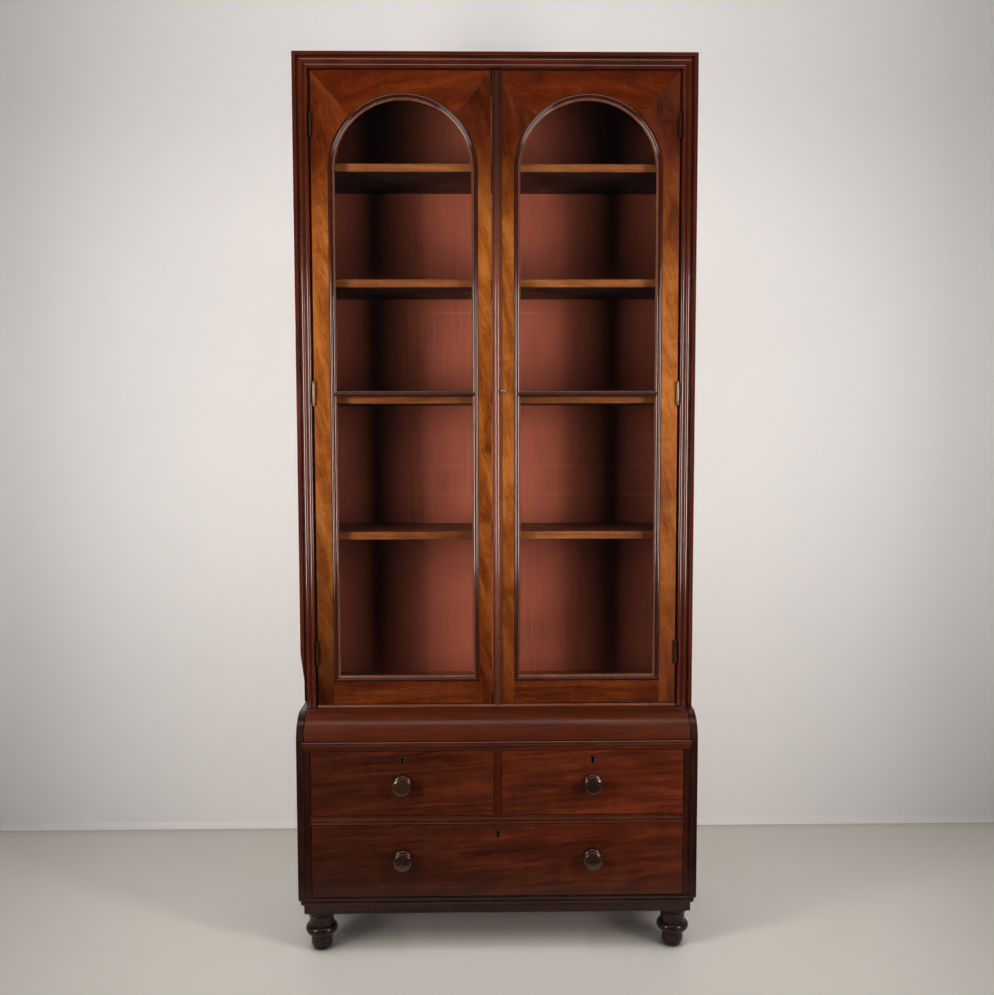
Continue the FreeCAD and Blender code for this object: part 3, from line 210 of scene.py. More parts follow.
def own_space(tree, board_pitch=None):
    """Object coordinates, moved differently for each object or for each board of a row."""
    number = tree.add("ShaderNodeObjectInfo").outputs["Random"]
    if board_pitch:
        board = tree.math("FLOOR", tree.math("DIVIDE", tree.place_along("X"), board_pitch))
        number = tree.math("ADD", number, tree.math("MULTIPLY", board, BOARD_SHIFT))
    shift = tree.add("ShaderNodeCombineXYZ")
    for axis, amount in zip("XYZ", OBJECT_SHIFT):
        tree.feed(shift.inputs[axis], tree.math("MULTIPLY", number, amount))
    return tree.vector("ADD", tree.place(), shift.outputs[0])


# Materials

SWIRL_SCALE = 7.0
FIBRE_SHARE = 0.28
PORE_LEVEL = 0.35
# How dark corners get, as dirt and painted shade, and how far that reaches, in metres
DIRT_AND_SHADE_LEVEL = 0.25
WOOD_DIRT_AND_SHADE_REACH = 0.012
METAL_GRIME_REACH = 0.003
WARM_GLINT = (1.0, 0.8, 0.7, 1.0)
WARM_COAT = (1.0, 0.9, 0.82, 1.0)


def swirled(tree, space, amount):
    """Coordinates pushed about by a slow noise, so that the grain winds."""
    drift = tree.noise(space, SWIRL_SCALE, 2.0, 0.5, output="Color")
    centred = tree.vector("SUBTRACT", drift, (0.5, 0.5, 0.5))
    return tree.vector("ADD", space, tree.vector("MULTIPLY", centred, (amount,) * 3))


def wood(name, dark, mid, light, grain="Z", tilt=0.0, mottle=0.4, curl=0.1, contrast=1.0,
         swirl=0.0, rough=0.22, coat=0.3, pore=0.3, dirt_and_shade=0.7, soften=0.0008, relief=1.0,
         gloss=0.07, shine=0.3, end_shade=None, side_light=None):
    """Polished wood: mottled figure, streaks, fibres and pores along the grain, and dirt with
    painted shade in its corners.

    Shade at the top and foot is given as (four heights, low shade, high shade): painted shade
    darkens the colour below the first height and above the fourth, and leaves it full between
    the
    second and the third. Side light is given as (left place, right place, left light, right
    light):
    painted light and shade change the colour evenly between the two places.
    """
    tree = material_tree(name)
    space = tree.mapped(own_space(tree), rotation=(0, math.radians(tilt), 0))
    if swirl:
        space = swirled(tree, space, swirl)

    def along(stretch, beside):
        """The space scaled along the grain and beside it."""
        scale = {"X": (stretch, beside, beside), "Y": (beside, stretch, beside),
                 "Z": (beside, beside, stretch)}[grain]
        return tree.mapped(space, scale)

    cloud = tree.noise(along(4.0, 17.0), 1.0, 3.0, 0.55, 0.9)
    streak = tree.noise(along(2.4, 62.0), 1.0, 4.0, 0.6, 0.7)
    fibre = tree.noise(along(9.0, 380.0), 1.0, 3.0, 0.6)
    ripple = tree.noise(along(46.0, 11.0), 1.0, 2.0, 0.5, 0.6)
    pores = tree.noise(along(60.0, 1300.0), 1.0, 2.0, 0.5)
    value = tree.math("MULTIPLY", cloud, mottle)
    shares = ((streak, 1.0 - FIBRE_SHARE - mottle), (fibre, FIBRE_SHARE), (ripple, curl))
    for layer, share in shares:
        value = tree.math("ADD", value, tree.math("MULTIPLY", layer, share))
    middle = 0.5 + curl * 0.5
    half = 0.15 / contrast
    value = tree.span(value, middle - half, middle + half)
    colour = tree.ramp(value, [(0.0, dark), (0.5, mid), (1.0, light)])

    # Painted shade: darker towards the top and the foot, away from the lamps' height
    if end_shade:
        heights, low_shade, high_shade = end_shade
        height = tree.place_along("Z")
        below = tree.span(height, heights[0], heights[1], 1.0, 0.0)
        above = tree.span(height, heights[2], heights[3])
        colour = tree.mix(below, colour, opaque(low_shade), "MULTIPLY")
        colour = tree.mix(above, colour, opaque(high_shade), "MULTIPLY")
    # Painted light: the colour changes evenly from one side to the other
    if side_light:
        left_place, right_place, left_light, right_light = side_light
        to_right = tree.span(tree.place_along("X"), left_place, right_place)
        tint = tree.mix(to_right, opaque(left_light), opaque(right_light))
        colour = tree.mix(1.0, colour, tint, "MULTIPLY")
    dots = tree.span(pores, 0.56, 0.7)
    colour = tree.mix(tree.math("MULTIPLY", dots, pore), colour, opaque(dark, PORE_LEVEL))
    # Dirt and painted shade: the colour darkens towards the dark tone where something stands
    # near
    dirt_and_shade_mask = tree.span(tree.openness(WOOD_DIRT_AND_SHADE_REACH), 0.3, 0.9, dirt_and_shade, 0.0)
    colour = tree.mix(dirt_and_shade_mask, colour, opaque(dark, DIRT_AND_SHADE_LEVEL))

    rubbed = tree.noise(space, 9.0, 4.0, 0.6)
    finish = tree.span(rubbed, 0.3, 0.7, rough * 0.8, rough * 1.3)
    finish = tree.math("ADD", finish, tree.math("MULTIPLY", dots, 0.15), clamp=True)
    edge = tree.add("ShaderNodeBevel", samples=4)
    edge.inputs["Radius"].default_value = soften
    raised = tree.math("MULTIPLY", fibre, 0.25)
    raised = tree.math("SUBTRACT", raised, tree.math("MULTIPLY", dots, 0.5))
    normal = tree.bump(raised, 0.3 * relief, 0.0002, edge.outputs["Normal"])
    waves = tree.noise(along(1.5, 14.0), 1.0, 2.0)
    normal = tree.bump(waves, 0.07 * relief, 0.004, normal)
    return tree.finish(tree.shader(
        colour, finish, normal, IOR=1.45, Specular_IOR_Level=shine, Specular_Tint=WARM_GLINT,
        Coat_Weight=coat, Coat_Roughness=gloss, Coat_IOR=1.5, Coat_Tint=WARM_COAT))


BACK_BOARD_PITCH = 0.254
OLD_SHELF_LEVELS = (1.764, 1.31, 1.224)
PAINT = (srgb(124, 51, 33), srgb(150, 67, 44), srgb(164, 81, 55))
RUBBED_PAINT = srgb(176, 108, 88)


def painted_boards():
    """Thin old terracotta paint rolled on boards, with faint marks where shelves once met it."""
    tree = material_tree("terracotta_paint")
    space = own_space(tree, BACK_BOARD_PITCH)
    patch = tree.noise(space, 4.5, 5.0, 0.6, 0.6)
    brush = tree.noise(tree.mapped(space, (160, 160, 5)), 1.0, 4.0, 0.6)
    value = tree.math("MULTIPLY", patch, 0.6)
    value = tree.math("ADD", value, tree.math("MULTIPLY", brush, 0.4))
    colour = tree.ramp(value, list(zip((0.3, 0.5, 0.72), PAINT)))
    height = tree.place_along("Z")
    for level in OLD_SHELF_LEVELS:
        away = tree.math("ABSOLUTE", tree.math("SUBTRACT", height, level))
        mark = tree.span(away, 0.001, 0.004, 0.35, 0.0)
        broken = tree.span(tree.noise(tree.mapped(space, (6, 6, 90)), 1.0, 3.0), 0.4, 0.6)
        colour = tree.mix(tree.math("MULTIPLY", mark, broken), colour, opaque(RUBBED_PAINT))
    normal = tree.bump(brush, 0.25, 0.0006)
    finish = tree.span(patch, 0.3, 0.7, 0.62, 0.8)
    return tree.finish(tree.shader(colour, finish, normal, IOR=1.45))


def metal(name, bright, dull, rough, dirt_and_shade=0.6):
    """Old metal: bright where it is handled, brown in its hollows, rougher where it is dull."""
    tree = material_tree(name)
    space = own_space(tree)
    spots = tree.noise(space, 420.0, 5.0, 0.65)
    cloud = tree.noise(space, 60.0, 3.0, 0.5)
    value = tree.math("MULTIPLY", spots, 0.5)
    value = tree.math("ADD", value, tree.math("MULTIPLY", cloud, 0.5))
    glint = [min(v * 1.15, 1) for v in bright]
    colour = tree.ramp(value, [(0.32, dull), (0.5, bright), (0.75, glint)])
    dirt_and_shade_mask = tree.span(tree.openness(METAL_GRIME_REACH), 0.2, 0.8, dirt_and_shade, 0.0)
    colour = tree.mix(dirt_and_shade_mask, colour, opaque(dull, DIRT_AND_SHADE_LEVEL))
    finish = tree.span(value, 0.3, 0.7, rough * 1.5, rough * 0.8)
    return tree.finish(tree.shader(colour, finish, tree.bump(spots, 0.2, 0.0002), Metallic=1.0))


def glass():
    """Clear old window glass with a slightly uneven face; lamps shine through it."""
    tree = material_tree("old_window_glass")
    space = own_space(tree)
    swell = tree.noise(tree.mapped(space, (4.0, 4.0, 1.6)), 1.0, 2.0, 0.4)
    wiped = tree.span(tree.noise(space, 16.0, 6.0, 0.7), 0.45, 0.8, 0.0, 0.008)
    shader = tree.shader((0.96, 0.98, 0.965, 1.0), wiped, tree.bump(swell, 0.12, 0.004),
                         Transmission_Weight=1.0, IOR=1.5)
    rays = tree.add("ShaderNodeLightPath").outputs
    lighting = tree.math("MAXIMUM", rays["Is Shadow Ray"], rays["Is Diffuse Ray"])
    # A ray bent by the glass counts as glossy too, and has to meet glass on its way out
    mirrored = tree.math("SUBTRACT", rays["Is Glossy Ray"], rays["Is Transmission Ray"],
                         clamp=True)
    unbent = tree.math("MAXIMUM", lighting, mirrored)
    return tree.finish(tree.part_clear(shader, unbent, (0.93, 0.95, 0.94, 1.0)))


def shadow_gap():
    """Painted shade for the inside of a hole: a near-black, dusty in spots."""
    tree = material_tree("painted_hole_shade")
    dust = tree.noise(own_space(tree), 900.0, 3.0, 0.6)
    colour = tree.ramp(dust, [(0.35, srgb(10, 6, 4)), (0.7, srgb(30, 20, 14))])
    finish = tree.span(dust, 0.3, 0.7, 0.7, 0.95)
    return tree.finish(tree.shader(colour, finish, tree.bump(dust, 0.2, 0.0002)))


# Colours of the woods, from dark to light
CARCASE = (srgb(20, 8, 5), srgb(40, 17, 10), srgb(60, 28, 17))
MOULDING = (srgb(40, 14, 8), srgb(72, 28, 15), srgb(104, 46, 24))
BEAD = (srgb(32, 11, 7), srgb(54, 21, 14), srgb(74, 31, 20))
FILLET_HIGHLIGHT = (srgb(78, 44, 34), srgb(110, 70, 57), srgb(136, 92, 77))
OUTSIDE = (srgb(40, 15, 9), srgb(68, 29, 17), srgb(96, 44, 27))
# The meeting strip's wood tone is lighter and pinker than the mouldings', partly a painted sheen
STRIP_WITH_SHEEN = (srgb(78, 40, 28), srgb(112, 62, 44), srgb(134, 78, 58))
DRAWER = (srgb(42, 16, 8), srgb(72, 29, 15), srgb(102, 44, 22))
CUSHION = (srgb(46, 16, 7), srgb(74, 28, 12), srgb(98, 41, 20))
VENEER = (srgb(88, 38, 10), srgb(138, 75, 26), srgb(172, 106, 48))
HEAD = (srgb(52, 17, 4), srgb(80, 28, 6), srgb(110, 44, 11))
RAIL = (srgb(50, 18, 7), srgb(82, 34, 12), srgb(116, 54, 22))
TURNED = (srgb(12, 6, 5), srgb(26, 13, 10), srgb(44, 24, 18))
KNOB = (srgb(26, 14, 9), srgb(46, 26, 17), srgb(66, 40, 27))
SHELF = (srgb(78, 36, 16), srgb(134, 72, 34), srgb(168, 102, 52))
SHADED_SHELF_TOP = (srgb(46, 21, 13), srgb(76, 37, 23), srgb(102, 53, 32))
SHADED_UNDERSIDE = (srgb(34, 18, 13), srgb(50, 27, 20), srgb(66, 37, 28))
PINE = (srgb(128, 86, 48), srgb(176, 132, 84), srgb(206, 166, 116))

carcase = {axis: wood(f"carcase_mahogany_{axis}", *CARCASE, grain=axis, mottle=0.3, rough=0.28,
                      coat=0.1)
           for axis in "XYZ"}
# Mouldings and beads darken most in their corners: painted shade in their quirks, and dirt
moulding = {axis: wood(f"moulding_mahogany_{axis}", *MOULDING, grain=axis, rough=0.16, coat=0.3,
                       gloss=0.05, dirt_and_shade=0.9, curl=0.04, contrast=0.6, pore=0.15, relief=0.08,
                       shine=0.6)
            for axis in "XZ"}
bead = wood("bead_mahogany", *BEAD, rough=0.14, coat=0.15, shine=0.8, gloss=0.03, dirt_and_shade=0.9,
            curl=0.04, contrast=0.6, pore=0.1, soften=0.0003, relief=0.2)
# Painted highlight: the narrow flat of the glazing bead nearest the glass is lighter
fillet_highlight = wood("fillet_highlight_mahogany", *FILLET_HIGHLIGHT, rough=0.25, coat=1.0, gloss=0.05, dirt_and_shade=0.3,
              contrast=0.6, pore=0.1, soften=0.0003, relief=0.2)
outside = wood("side_mahogany", *OUTSIDE, tilt=2.0, mottle=0.45, curl=0.12, swirl=0.04,
               rough=0.36, coat=0.05)
# Painted sheen and shade: the strip is lightest at the lamps' height and darker at its top and
# foot
strip = wood("meeting_strip_with_sheen_mahogany", *STRIP_WITH_SHEEN, rough=0.3, coat=0.5, gloss=0.05, contrast=0.6,
             pore=0.2, relief=0.1,
             end_shade=((0.7, 1.2, 1.75, 2.15), (0.5, 0.45, 0.45), (0.22, 0.2, 0.22)))
# Painted shade: the two last heights lie above the drawers, so that only their foot is darker
drawer = wood("drawer_veneer", *DRAWER, grain="X", tilt=4.0, mottle=0.32, curl=0.08,
              swirl=0.015, soften=0.0015, rough=0.26, coat=0.15,
              end_shade=((0.15, 0.36, 2.5, 2.6), (0.62, 0.72, 0.85), (1.0, 1.0, 1.0)),
              # Painted light: the drawers grow lighter from left to right
              side_light=(-0.42, 0.42, (0.8, 0.9, 1.0), (1.5, 1.4, 1.4)))
cushion = wood("cushion_veneer", *CUSHION, grain="X", mottle=0.3, curl=0.06, contrast=0.7,
               swirl=0.01, rough=0.34, coat=0.1, relief=0.4)

# The painted shade at the top and foot, the roughness and the shine of each kind of stile
STILES = {
    "left": (((0.7, 1.35, 1.9, 2.15), (0.16, 0.12, 0.14), (0.4, 0.24, 0.24)), 0.24, 0.3),
    "meeting": (((0.7, 1.3, 1.9, 2.2), (0.42, 0.28, 0.34), (0.26, 0.15, 0.18)), 0.24, 0.3),
    "right": (((0.7, 1.3, 1.8, 2.15), (0.42, 0.28, 0.34), (0.29, 0.16, 0.16)), 0.32, 0.35),
}
stile = {kind: wood(f"{kind}_stile_veneer", *VENEER, tilt=14.0, mottle=0.5, contrast=1.1,
                    swirl=0.05, rough=rough, shine=shine, end_shade=end_shade)
         for kind, (end_shade, rough, shine) in STILES.items()}
bottom_rail = wood("bottom_rail_veneer", *RAIL, grain="X", swirl=0.03)
head = {label: wood(f"{label}_head_veneer", *HEAD, grain="X", tilt=tilt, mottle=0.55, curl=0.14,
                    contrast=0.8, swirl=0.06)
        for label, tilt in (("left", 12.0), ("right", -12.0))}
turned = wood("turned_mahogany", *TURNED, mottle=0.3, rough=0.34, coat=0.15)
knob_wood = wood("knob_mahogany", *KNOB, grain="X", rough=0.28, coat=0.7, shine=0.5)
shelf = wood("shelf_mahogany", *SHELF, grain="X", mottle=0.35, rough=0.42, coat=0.1)
# The sill's front edge shares the strip's pinker palette, partly a painted highlight
sill = wood("sill_mahogany", *STRIP_WITH_SHEEN, grain="X", rough=0.3, coat=0.1, contrast=0.6)
# Painted shade: the shelves' tops and undersides are darker copies of the shelf wood; the
# undersides are also left unpolished
shaded_shelf_top = wood("shaded_shelf_top_mahogany", *SHADED_SHELF_TOP, grain="X", rough=0.4, coat=0.1)
shaded_underside = wood("shaded_shelf_underside_mahogany", *SHADED_UNDERSIDE, grain="X", contrast=0.6, rough=0.5,
                 coat=0.0, pore=0.05, dirt_and_shade=0.3, relief=0.3)
pine = {axis: wood(f"lining_pine_{axis}", *PINE, grain=axis, mottle=0.3, rough=0.6, coat=0.0,
                   pore=0.12, dirt_and_shade=0.5)
        for axis in "XYZ"}
paint = painted_boards()
brass = metal("aged_brass", srgb(132, 112, 88), srgb(60, 46, 34), 0.4)
# Painted shade: a darker brass for the hinges far above and below the lamps' height
shaded_brass = metal("shaded_dark_brass", srgb(58, 42, 30), srgb(26, 17, 12), 0.5)
thread_metal = metal("thread_brass", srgb(138, 112, 86), srgb(60, 45, 33), 0.32)
steel = metal("worn_steel", srgb(176, 160, 138), srgb(92, 74, 58), 0.32)
pane = glass()
hole = shadow_gap()


# Finishes of the CAD nodes

FINISHES = {
    "base_side_left": carcase["Z"], "base_side_right": carcase["Z"],
    "base_top_board": carcase["X"], "base_bottom_board": pine["X"],
    "base_back_panel": pine["X"], "base_moulding": carcase["X"], "plinth_frame": carcase["X"],
    "front_rails": moulding["X"], "drawer_divider": moulding["Z"],
    "drawer_runners": carcase["Z"], "cushion_drawer_front": cushion,
    "upper_side_left": carcase["Z"], "upper_side_right": carcase["Z"],
    "upper_top_board": carcase["X"], "upper_bottom_board": shelf, "upper_back_boards": paint,
    "frame_moulding": moulding["Z"], "shelf_pegs": pine["X"], "case_hinge_leaves": brass,
    "left_door_top_rail": head["left"], "right_door_top_rail": head["right"],
    "astragal": strip, "door_lock_case": brass, "door_lock_bolt": brass, "door_key": steel,
}
SHELVES = [name for name in nodes if name.startswith("shelf_") and name != "shelf_pegs"]
for name in nodes:
    if name.startswith("foot_"):
        FINISHES[name] = turned
    elif name in SHELVES:
        FINISHES[name] = shelf
    elif name.endswith("stile"):
        FINISHES[name] = stile["meeting" if "meeting" in name else name.split("_")[0]]
    elif name.endswith("bottom_rail"):
        FINISHES[name] = bottom_rail
    elif name.endswith("glazing_bead"):
        FINISHES[name] = bead
    elif name.endswith("glass"):
        FINISHES[name] = pane
    elif name.endswith("_box"):
        FINISHES[name] = pine["X"]
    elif name.endswith(("knob", "knobs")):
        FINISHES[name] = knob_wood
    elif name.endswith("_lock"):
        FINISHES[name] = thread_metal
    elif name.endswith(("fittings", "hinge_leaves", "_bolt")):
        FINISHES[name] = brass
    elif name.startswith(("short_drawer", "long_drawer")) and name.endswith("front"):
        FINISHES[name] = drawer


def dress(name, materials, choose=None):
    """Gives a node its materials; choose gives the slot of a face from the face's middle."""
    node = nodes[name]
    node.data.materials.clear()
    for material in materials:
        node.data.materials.append(material)
    if choose:
        for face in node.data.polygons:
            face.material_index = choose(node.matrix_world @ face.center)


for name in nodes:
    dress(name, [FINISHES[name]])

# Sizes of the CAD that tell one kind of face from another, in metres
HALF_WIDTH, _, TOP = cad_box[1]
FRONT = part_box("base_side_left")[0][1]
HAIR = 0.0005
PLINTH_SIDES_END = 0.18
SILL_DEPTH = 0.02
BOX_SIDE = 0.0125
FILLET_AT = 0.0145
FILLET_HALF = 0.0036
FILLET_FACE = -0.0855
HINGE_MIDDLE = 1.516
HINGE_STEP = 0.706
MIDDLE_HINGE_REACH = 0.3


def turns_back(p):
    """Whether a place on a mitred frame belongs to its side length."""
    return p.y - FRONT > HALF_WIDTH - abs(p.x)


dress("frame_moulding", [moulding["Z"], moulding["X"]],
      lambda p: int(TOP - p.z < HALF_WIDTH - abs(p.x)))
dress("base_moulding", [carcase["X"], carcase["Y"]], lambda p: int(turns_back(p)))
dress("plinth_frame", [carcase["X"], carcase["Y"]],
      lambda p: int(turns_back(p) and p.y < PLINTH_SIDES_END))
back_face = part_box("upper_back_boards")[1][1] - HAIR
dress("upper_back_boards", [paint, pine["Z"]], lambda p: int(p.y > back_face))
sill_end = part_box("upper_bottom_board")[0][1] + SILL_DEPTH
dress("upper_bottom_board", [shelf, sill], lambda p: int(p.y < sill_end))
for name in nodes:
    low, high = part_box(name)
    if name in SHELVES:
        under, over = low[2] + HAIR, high[2] - HAIR
        # Undersides and tops take the darker copies, painted shade
        dress(name, [shelf, shaded_underside, shaded_shelf_top],
              lambda p: 1 if p.z < under else 2 * int(p.z > over))
    elif name.endswith(("side_left", "side_right")):
        outer = max(-low[0], high[0]) - HAIR
        dress(name, [carcase["Z"], outside], lambda p: int(abs(p.x) > outer))
    elif name.endswith("glazing_bead"):
        middle = (low[0] + high[0]) / 2
        half = (high[0] - low[0]) / 2 - FILLET_AT
        foot = low[2] + FILLET_AT
        spring = high[2] - half - FILLET_AT

        def at_fillet(p):
            """Whether a face lies on the narrow flat nearest to the glass."""
            aside = abs(p.x - middle)
            from_axis = math.hypot(aside, p.z - spring) if p.z > spring else aside
            off = abs(from_axis - half)
            if aside < half + 0.001:
                off = min(off, abs(p.z - foot))
            return int(off < FILLET_HALF and p.y < FILLET_FACE)

        # The narrow flat nearest the glass takes the lighter colour, a painted highlight
        dress(name, [bead, fillet_highlight], at_fillet)
    elif name.endswith("_box"):
        dress(name, [pine["X"], pine["Y"]],
              lambda p: int(p.x < low[0] + BOX_SIDE or p.x > high[0] - BOX_SIDE))
# The middle hinge keeps the bright brass; the top and bottom ones take the darker, painted shade
for name in ("case_hinge_leaves", "left_door_fittings", "right_door_hinge_leaves"):
    dress(name, [brass, shaded_brass],
          lambda p: int(abs(p.z - HINGE_MIDDLE) > MIDDLE_HINGE_REACH))

# Softened edges, in millimetres, catch the light as rubbed edges of real joinery do
SOFT_EDGES = {"base_side_left": 1.2, "base_side_right": 1.2, "drawer_divider": 0.8,
              "drawer_runners": 0.8, "plinth_frame": 1.0, "upper_top_board": 1.0}
for name, width in SOFT_EDGES.items():
    node = nodes[name]
    weld = node.modifiers.new("weld", "WELD")
    weld.merge_threshold = 0.00001
    bevel = node.modifiers.new("soft_edge", "BEVEL")
    bevel.width = width / 1000
    bevel.segments = 2
    bevel.limit_method = "ANGLE"
    bevel.angle_limit = math.radians(40)
    even = node.modifiers.new("even_normals", "WEIGHTED_NORMAL")
    even.weight = 80


# Small fittings, as meshes that ride on the body they are fixed to

def piece(name, points, faces, material, body, smooth=True):
    """A mesh piece from its points and faces, riding on one body."""
    mesh = bpy.data.meshes.new(name)
    mesh.from_pydata(points, [], faces)
    mesh.validate()
    obj = bpy.data.objects.new(name, mesh)
    scene.collection.objects.link(obj)
    mesh.materials.append(material)
    for face in mesh.polygons:
        face.use_smooth = smooth
    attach(obj, body)


def turned_piece(name, profile, place, axis, material, body, count=20):
    """A turned piece: profile is (radius, distance along the axis), from pole to pole."""
    axis = Vector(axis).normalized()
    side = axis.orthogonal().normalized()
    up = axis.cross(side)
    place = Vector(place)
    points = [place + axis * profile[0][1]]
    for radius, along in profile[1:-1]:
        for step in range(count):
            turn = math.tau * step / count
            spoke = side * math.cos(turn) + up * math.sin(turn)
            points.append(place + axis * along + spoke * radius)
    points.append(place + axis * profile[-1][1])
    faces = [(0, 1 + (step + 1) % count, 1 + step) for step in range(count)]
    for ring in range(len(profile) - 3):
        first = 1 + ring * count
        above = first + count
        for step in range(count):
            following = (step + 1) % count
            faces.append((first + step, first + following, above + following, above + step))
    last = len(points) - 1
    first = last - count
    faces += [(first + step, first + (step + 1) % count, last) for step in range(count)]
    piece(name, points, faces, material, body)


def slotted_screw(name, place, axis, slot_turn, body, radius=0.0028):
    """A countersunk screw head, very slightly proud: two halves with the slot between them."""
    axis = Vector(axis).normalized()
    side = Matrix.Rotation(slot_turn, 3, axis) @ axis.orthogonal().normalized()
    up = axis.cross(side)
    place = Vector(place)
    proud, half_slot, steps = 0.00025, 0.00035, 12
    start = math.asin(half_slot / radius)
    points, faces = [], []
    for hand in (1, -1):
        first = len(points)
        for step in range(steps + 1):
            turn = start + (math.pi - 2 * start) * step / steps
            rim = (side * math.cos(turn) + up * math.sin(turn) * hand) * radius
            points += [place + rim, place + rim * 0.9 + axis * proud]
        last = first + steps * 2
        half = [(a, a + 2, a + 3, a + 1) for a in range(first, last, 2)]
        half.append(tuple(range(first + 1, last + 2, 2)))
        half.append((first, first + 1, last + 1, last))
        faces += half if hand > 0 else [face[::-1] for face in half]
    piece(name, points, faces, brass, body, smooth=False)


# Where the hinges' leaves, pins and screws are in the CAD
LEAF_FACE = HALF_WIDTH - 0.045
LEAF_THICKNESS = 0.0015
DOOR_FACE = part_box("left_door_hinge_stile")[0][1]
PIN_Y = DOOR_FACE - 0.004
PIN_HALF = 0.0275
SCREW_STEP = 0.018
OUTER_SCREW_INSET = 0.013
MIDDLE_SCREW_INSET = 0.007
BALL = [(0.0, 0.0), (0.0022, 0.0), (0.0022, 0.0006), (0.003, 0.0013), (0.0035, 0.0025),
        (0.0034, 0.0038), (0.0026, 0.005), (0.0013, 0.0057), (0.0, 0.0059)]
for hand, label in ((-1, "left"), (1, "right")):
    for number in range(3):
        level = HINGE_MIDDLE + HINGE_STEP * (number - 1)
        pin_x = (LEAF_FACE - LEAF_THICKNESS / 2) * hand
        for end, end_label in ((-1, "low"), (1, "high")):
            turned_piece(f"hinge_ball_{label}_{number}_{end_label}", BALL,
                         (pin_x, PIN_Y, level + PIN_HALF * end), (0, 0, end),
                         brass if number == 1 else shaded_brass, "case")
        for spot in (-1, 0, 1):
            height = level + SCREW_STEP * spot
            screw_y = DOOR_FACE + (OUTER_SCREW_INSET if spot else MIDDLE_SCREW_INSET)
            slotted_screw(f"case_leaf_screw_{label}_{number}_{spot + 1}",
                          (LEAF_FACE * hand, screw_y, height), (-hand, 0, 0),
                          0.7 * number + 1.1 * spot, "case")
            slotted_screw(f"door_leaf_screw_{label}_{number}_{spot + 1}",
                          ((LEAF_FACE - LEAF_THICKNESS) * hand, screw_y, height),
                          (hand, 0, 0), 0.5 * number - 0.9 * spot, f"{label}_door")

# Keyhole pin sunk in the meeting strip: a small near-black dome, painted shade for its hole
strip_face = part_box("astragal")[0][1]
turned_piece("key_stop_hole",
             [(0.0, 0.0), (0.0019, 0.0), (0.0016, 0.0004), (0.0, 0.0003)],
             (0.0085, strip_face + 0.0012, 1.521), (0, -1, 0), hole, "right_door")


# Floor and wall

WALL = 0.72
WALL_TOP = 9.0
COVE = 0.02
NEAR_FLOOR = -0.6
REACH = 14.0
FLOOR_COLOUR = srgb(212, 207, 199)
WALL_COLOUR = srgb(243, 239, 236)


def plain_surface(name, colour, lift, painted_shadow=0.0):
    """A plain pale surface, clear from behind, with a little paleness of its own.

    lift is how strong that paleness is where the surface is looked at, also in a mirror or
    through a pane. The last argument paints a shadow: it darkens the colour and the paleness
    where something stands close above.
    """
    tree = material_tree(name)
    patch = tree.noise(tree.place(), 1.3, 5.0, 0.6)
    shade = tree.ramp(patch, [(0.3, [v * 0.97 for v in colour]), (0.7, colour)])
    # Painted shadow where something stands close above
    if painted_shadow:
        shadow_share = tree.span(tree.openness(0.22, samples=16), 0.33, 0.64, painted_shadow, 0.0)
        shade = tree.mix(shadow_share, shade, opaque(colour, 0.05))
    rays = tree.add("ShaderNodeLightPath").outputs
    looked = tree.math("MAXIMUM", rays["Is Camera Ray"], rays["Is Transmission Ray"])
    seen = tree.math("MAXIMUM", looked, rays["Is Glossy Ray"])
    shader = tree.shader(shade, 0.65, Emission_Color=shade,
                         Emission_Strength=tree.math("MULTIPLY", seen, lift))
    behind = tree.add("ShaderNodeNewGeometry").outputs["Backfacing"]
    return tree.finish(tree.part_clear(shader, tree.math("MULTIPLY", behind, looked)))


def sheet(name, profile, material):
    """A sheet drawn through places (y, z) and as wide as the stage."""
    mesh = bpy.data.meshes.new(name)
    points = [(x, y, z) for y, z in profile for x in (-REACH, REACH)]
    faces = [(a, a + 1, a + 3, a + 2) for a in range(0, len(points) - 2, 2)]
    mesh.from_pydata(points, [], faces)
    obj = bpy.data.objects.new(name, mesh)
    scene.collection.objects.link(obj)
    mesh.materials.append(material)
    return obj


pale_floor = plain_surface("pale_floor", FLOOR_COLOUR, 0.14, painted_shadow=0.95)
pale_wall = plain_surface("pale_wall", WALL_COLOUR, 0.11)
sheet("floor", [(NEAR_FLOOR, 0.0), (WALL - COVE, 0.0)], pale_floor)
sheet("backdrop", [(WALL - COVE, 0.0), (WALL - 0.3 * COVE, 0.3 * COVE), (WALL, COVE),
                   (WALL, WALL_TOP)], pale_wall)

# The floor in front neither lights the wood nor shows in it, as in a dark room
front_floor = sheet("front_floor", [(-REACH, 0.0), (NEAR_FLOOR, 0.0)], pale_floor)
front_floor.visible_glossy = False
front_floor.visible_diffuse = False


# Light: two tall soft boxes, near and well out to the sides, a soft ceiling, a dim surround

SIDE, AHEAD, UP = 1.74, -1.47, 1.42
WORLD_SEEN = 0.7
WORLD_DIM = 0.02


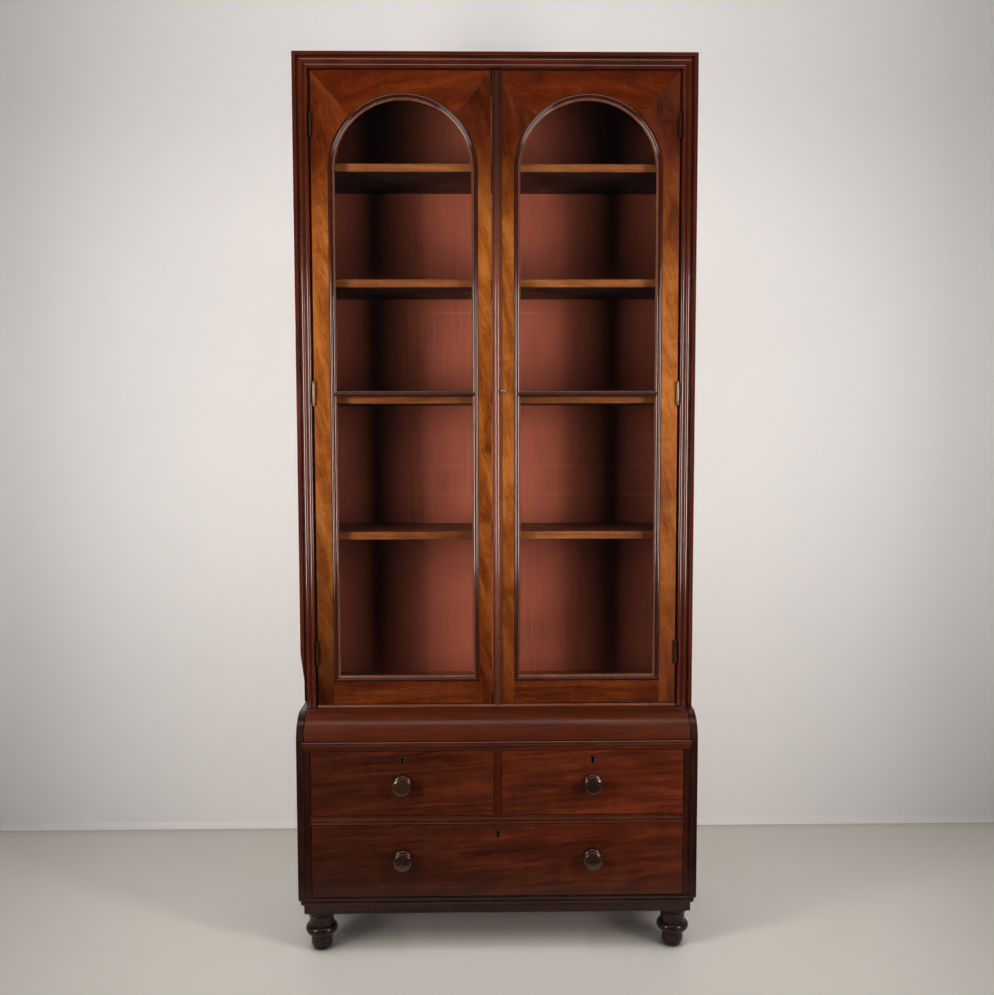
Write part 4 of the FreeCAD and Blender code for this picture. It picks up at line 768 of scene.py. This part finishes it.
def lamp(name, place, target, size, power, colour=(1.0, 1.0, 1.0), spread=180):
    data = bpy.data.lights.new(name, "AREA")
    data.spread = math.radians(spread)
    data.shape = "RECTANGLE"
    data.size, data.size_y = size
    data.energy = power
    data.color = colour
    obj = bpy.data.objects.new(name, data)
    obj.location = place
    facing = Vector(target) - Vector(place)
    obj.rotation_euler = facing.to_track_quat("-Z", "Y").to_euler()
    scene.collection.objects.link(obj)


for label, hand in (("left", -1), ("right", 1)):
    lamp(f"lamp_{label}", (SIDE * hand, AHEAD, UP), (0.2 * hand, 0.0, 1.5), (0.5, 1.4), 23.0,
         (1.0, 0.985, 0.965), 120)
lamp("ceiling", (0.0, -1.3, 3.7), (0.0, -0.2, 0.6), (2.6, 0.9), 26.0)

# The surround is pale where it is looked at, also through the panes, and dim as a light
world = bpy.data.worlds.new("surround")
scene.world = world
tree = Tree(world)
rays = tree.add("ShaderNodeLightPath").outputs
bounces = tree.math("ADD", rays["Diffuse Depth"], rays["Glossy Depth"])
straight = tree.math("LESS_THAN", bounces, 0.5)
through = tree.math("MULTIPLY", rays["Is Transmission Ray"], straight)
seen = tree.math("MAXIMUM", rays["Is Camera Ray"], through)
background = tree.add("ShaderNodeBackground")
background.inputs["Color"].default_value = (0.86, 0.88, 0.92, 1.0)
strength = tree.math("ADD", tree.math("MULTIPLY", seen, WORLD_SEEN), WORLD_DIM)
tree.feed(background.inputs["Strength"], strength)
tree.finish(background, "ShaderNodeOutputWorld")

# Camera, fitted to the photograph
SENSOR = 36.0
FOCAL_PIXELS = 1000
LONG_SIDE_PIXELS = 995
PLACE = (-0.0422, -2.7943, 1.4184)
YAW, PITCH, ROLL = -0.923, -3.872, -0.119
camera_data = bpy.data.cameras.new("camera")
camera = bpy.data.objects.new("camera", camera_data)
scene.collection.objects.link(camera)
camera_data.sensor_width = SENSOR
camera_data.lens = SENSOR * FOCAL_PIXELS / LONG_SIDE_PIXELS
camera.location = PLACE
aim = (Matrix.Rotation(math.radians(YAW), 4, "Z")
       @ Matrix.Rotation(math.radians(90 + PITCH), 4, "X")
       @ Matrix.Rotation(math.radians(ROLL), 4, "Z"))
camera.rotation_euler = aim.to_euler()
scene.camera = camera

scene.view_settings.view_transform = "Standard"
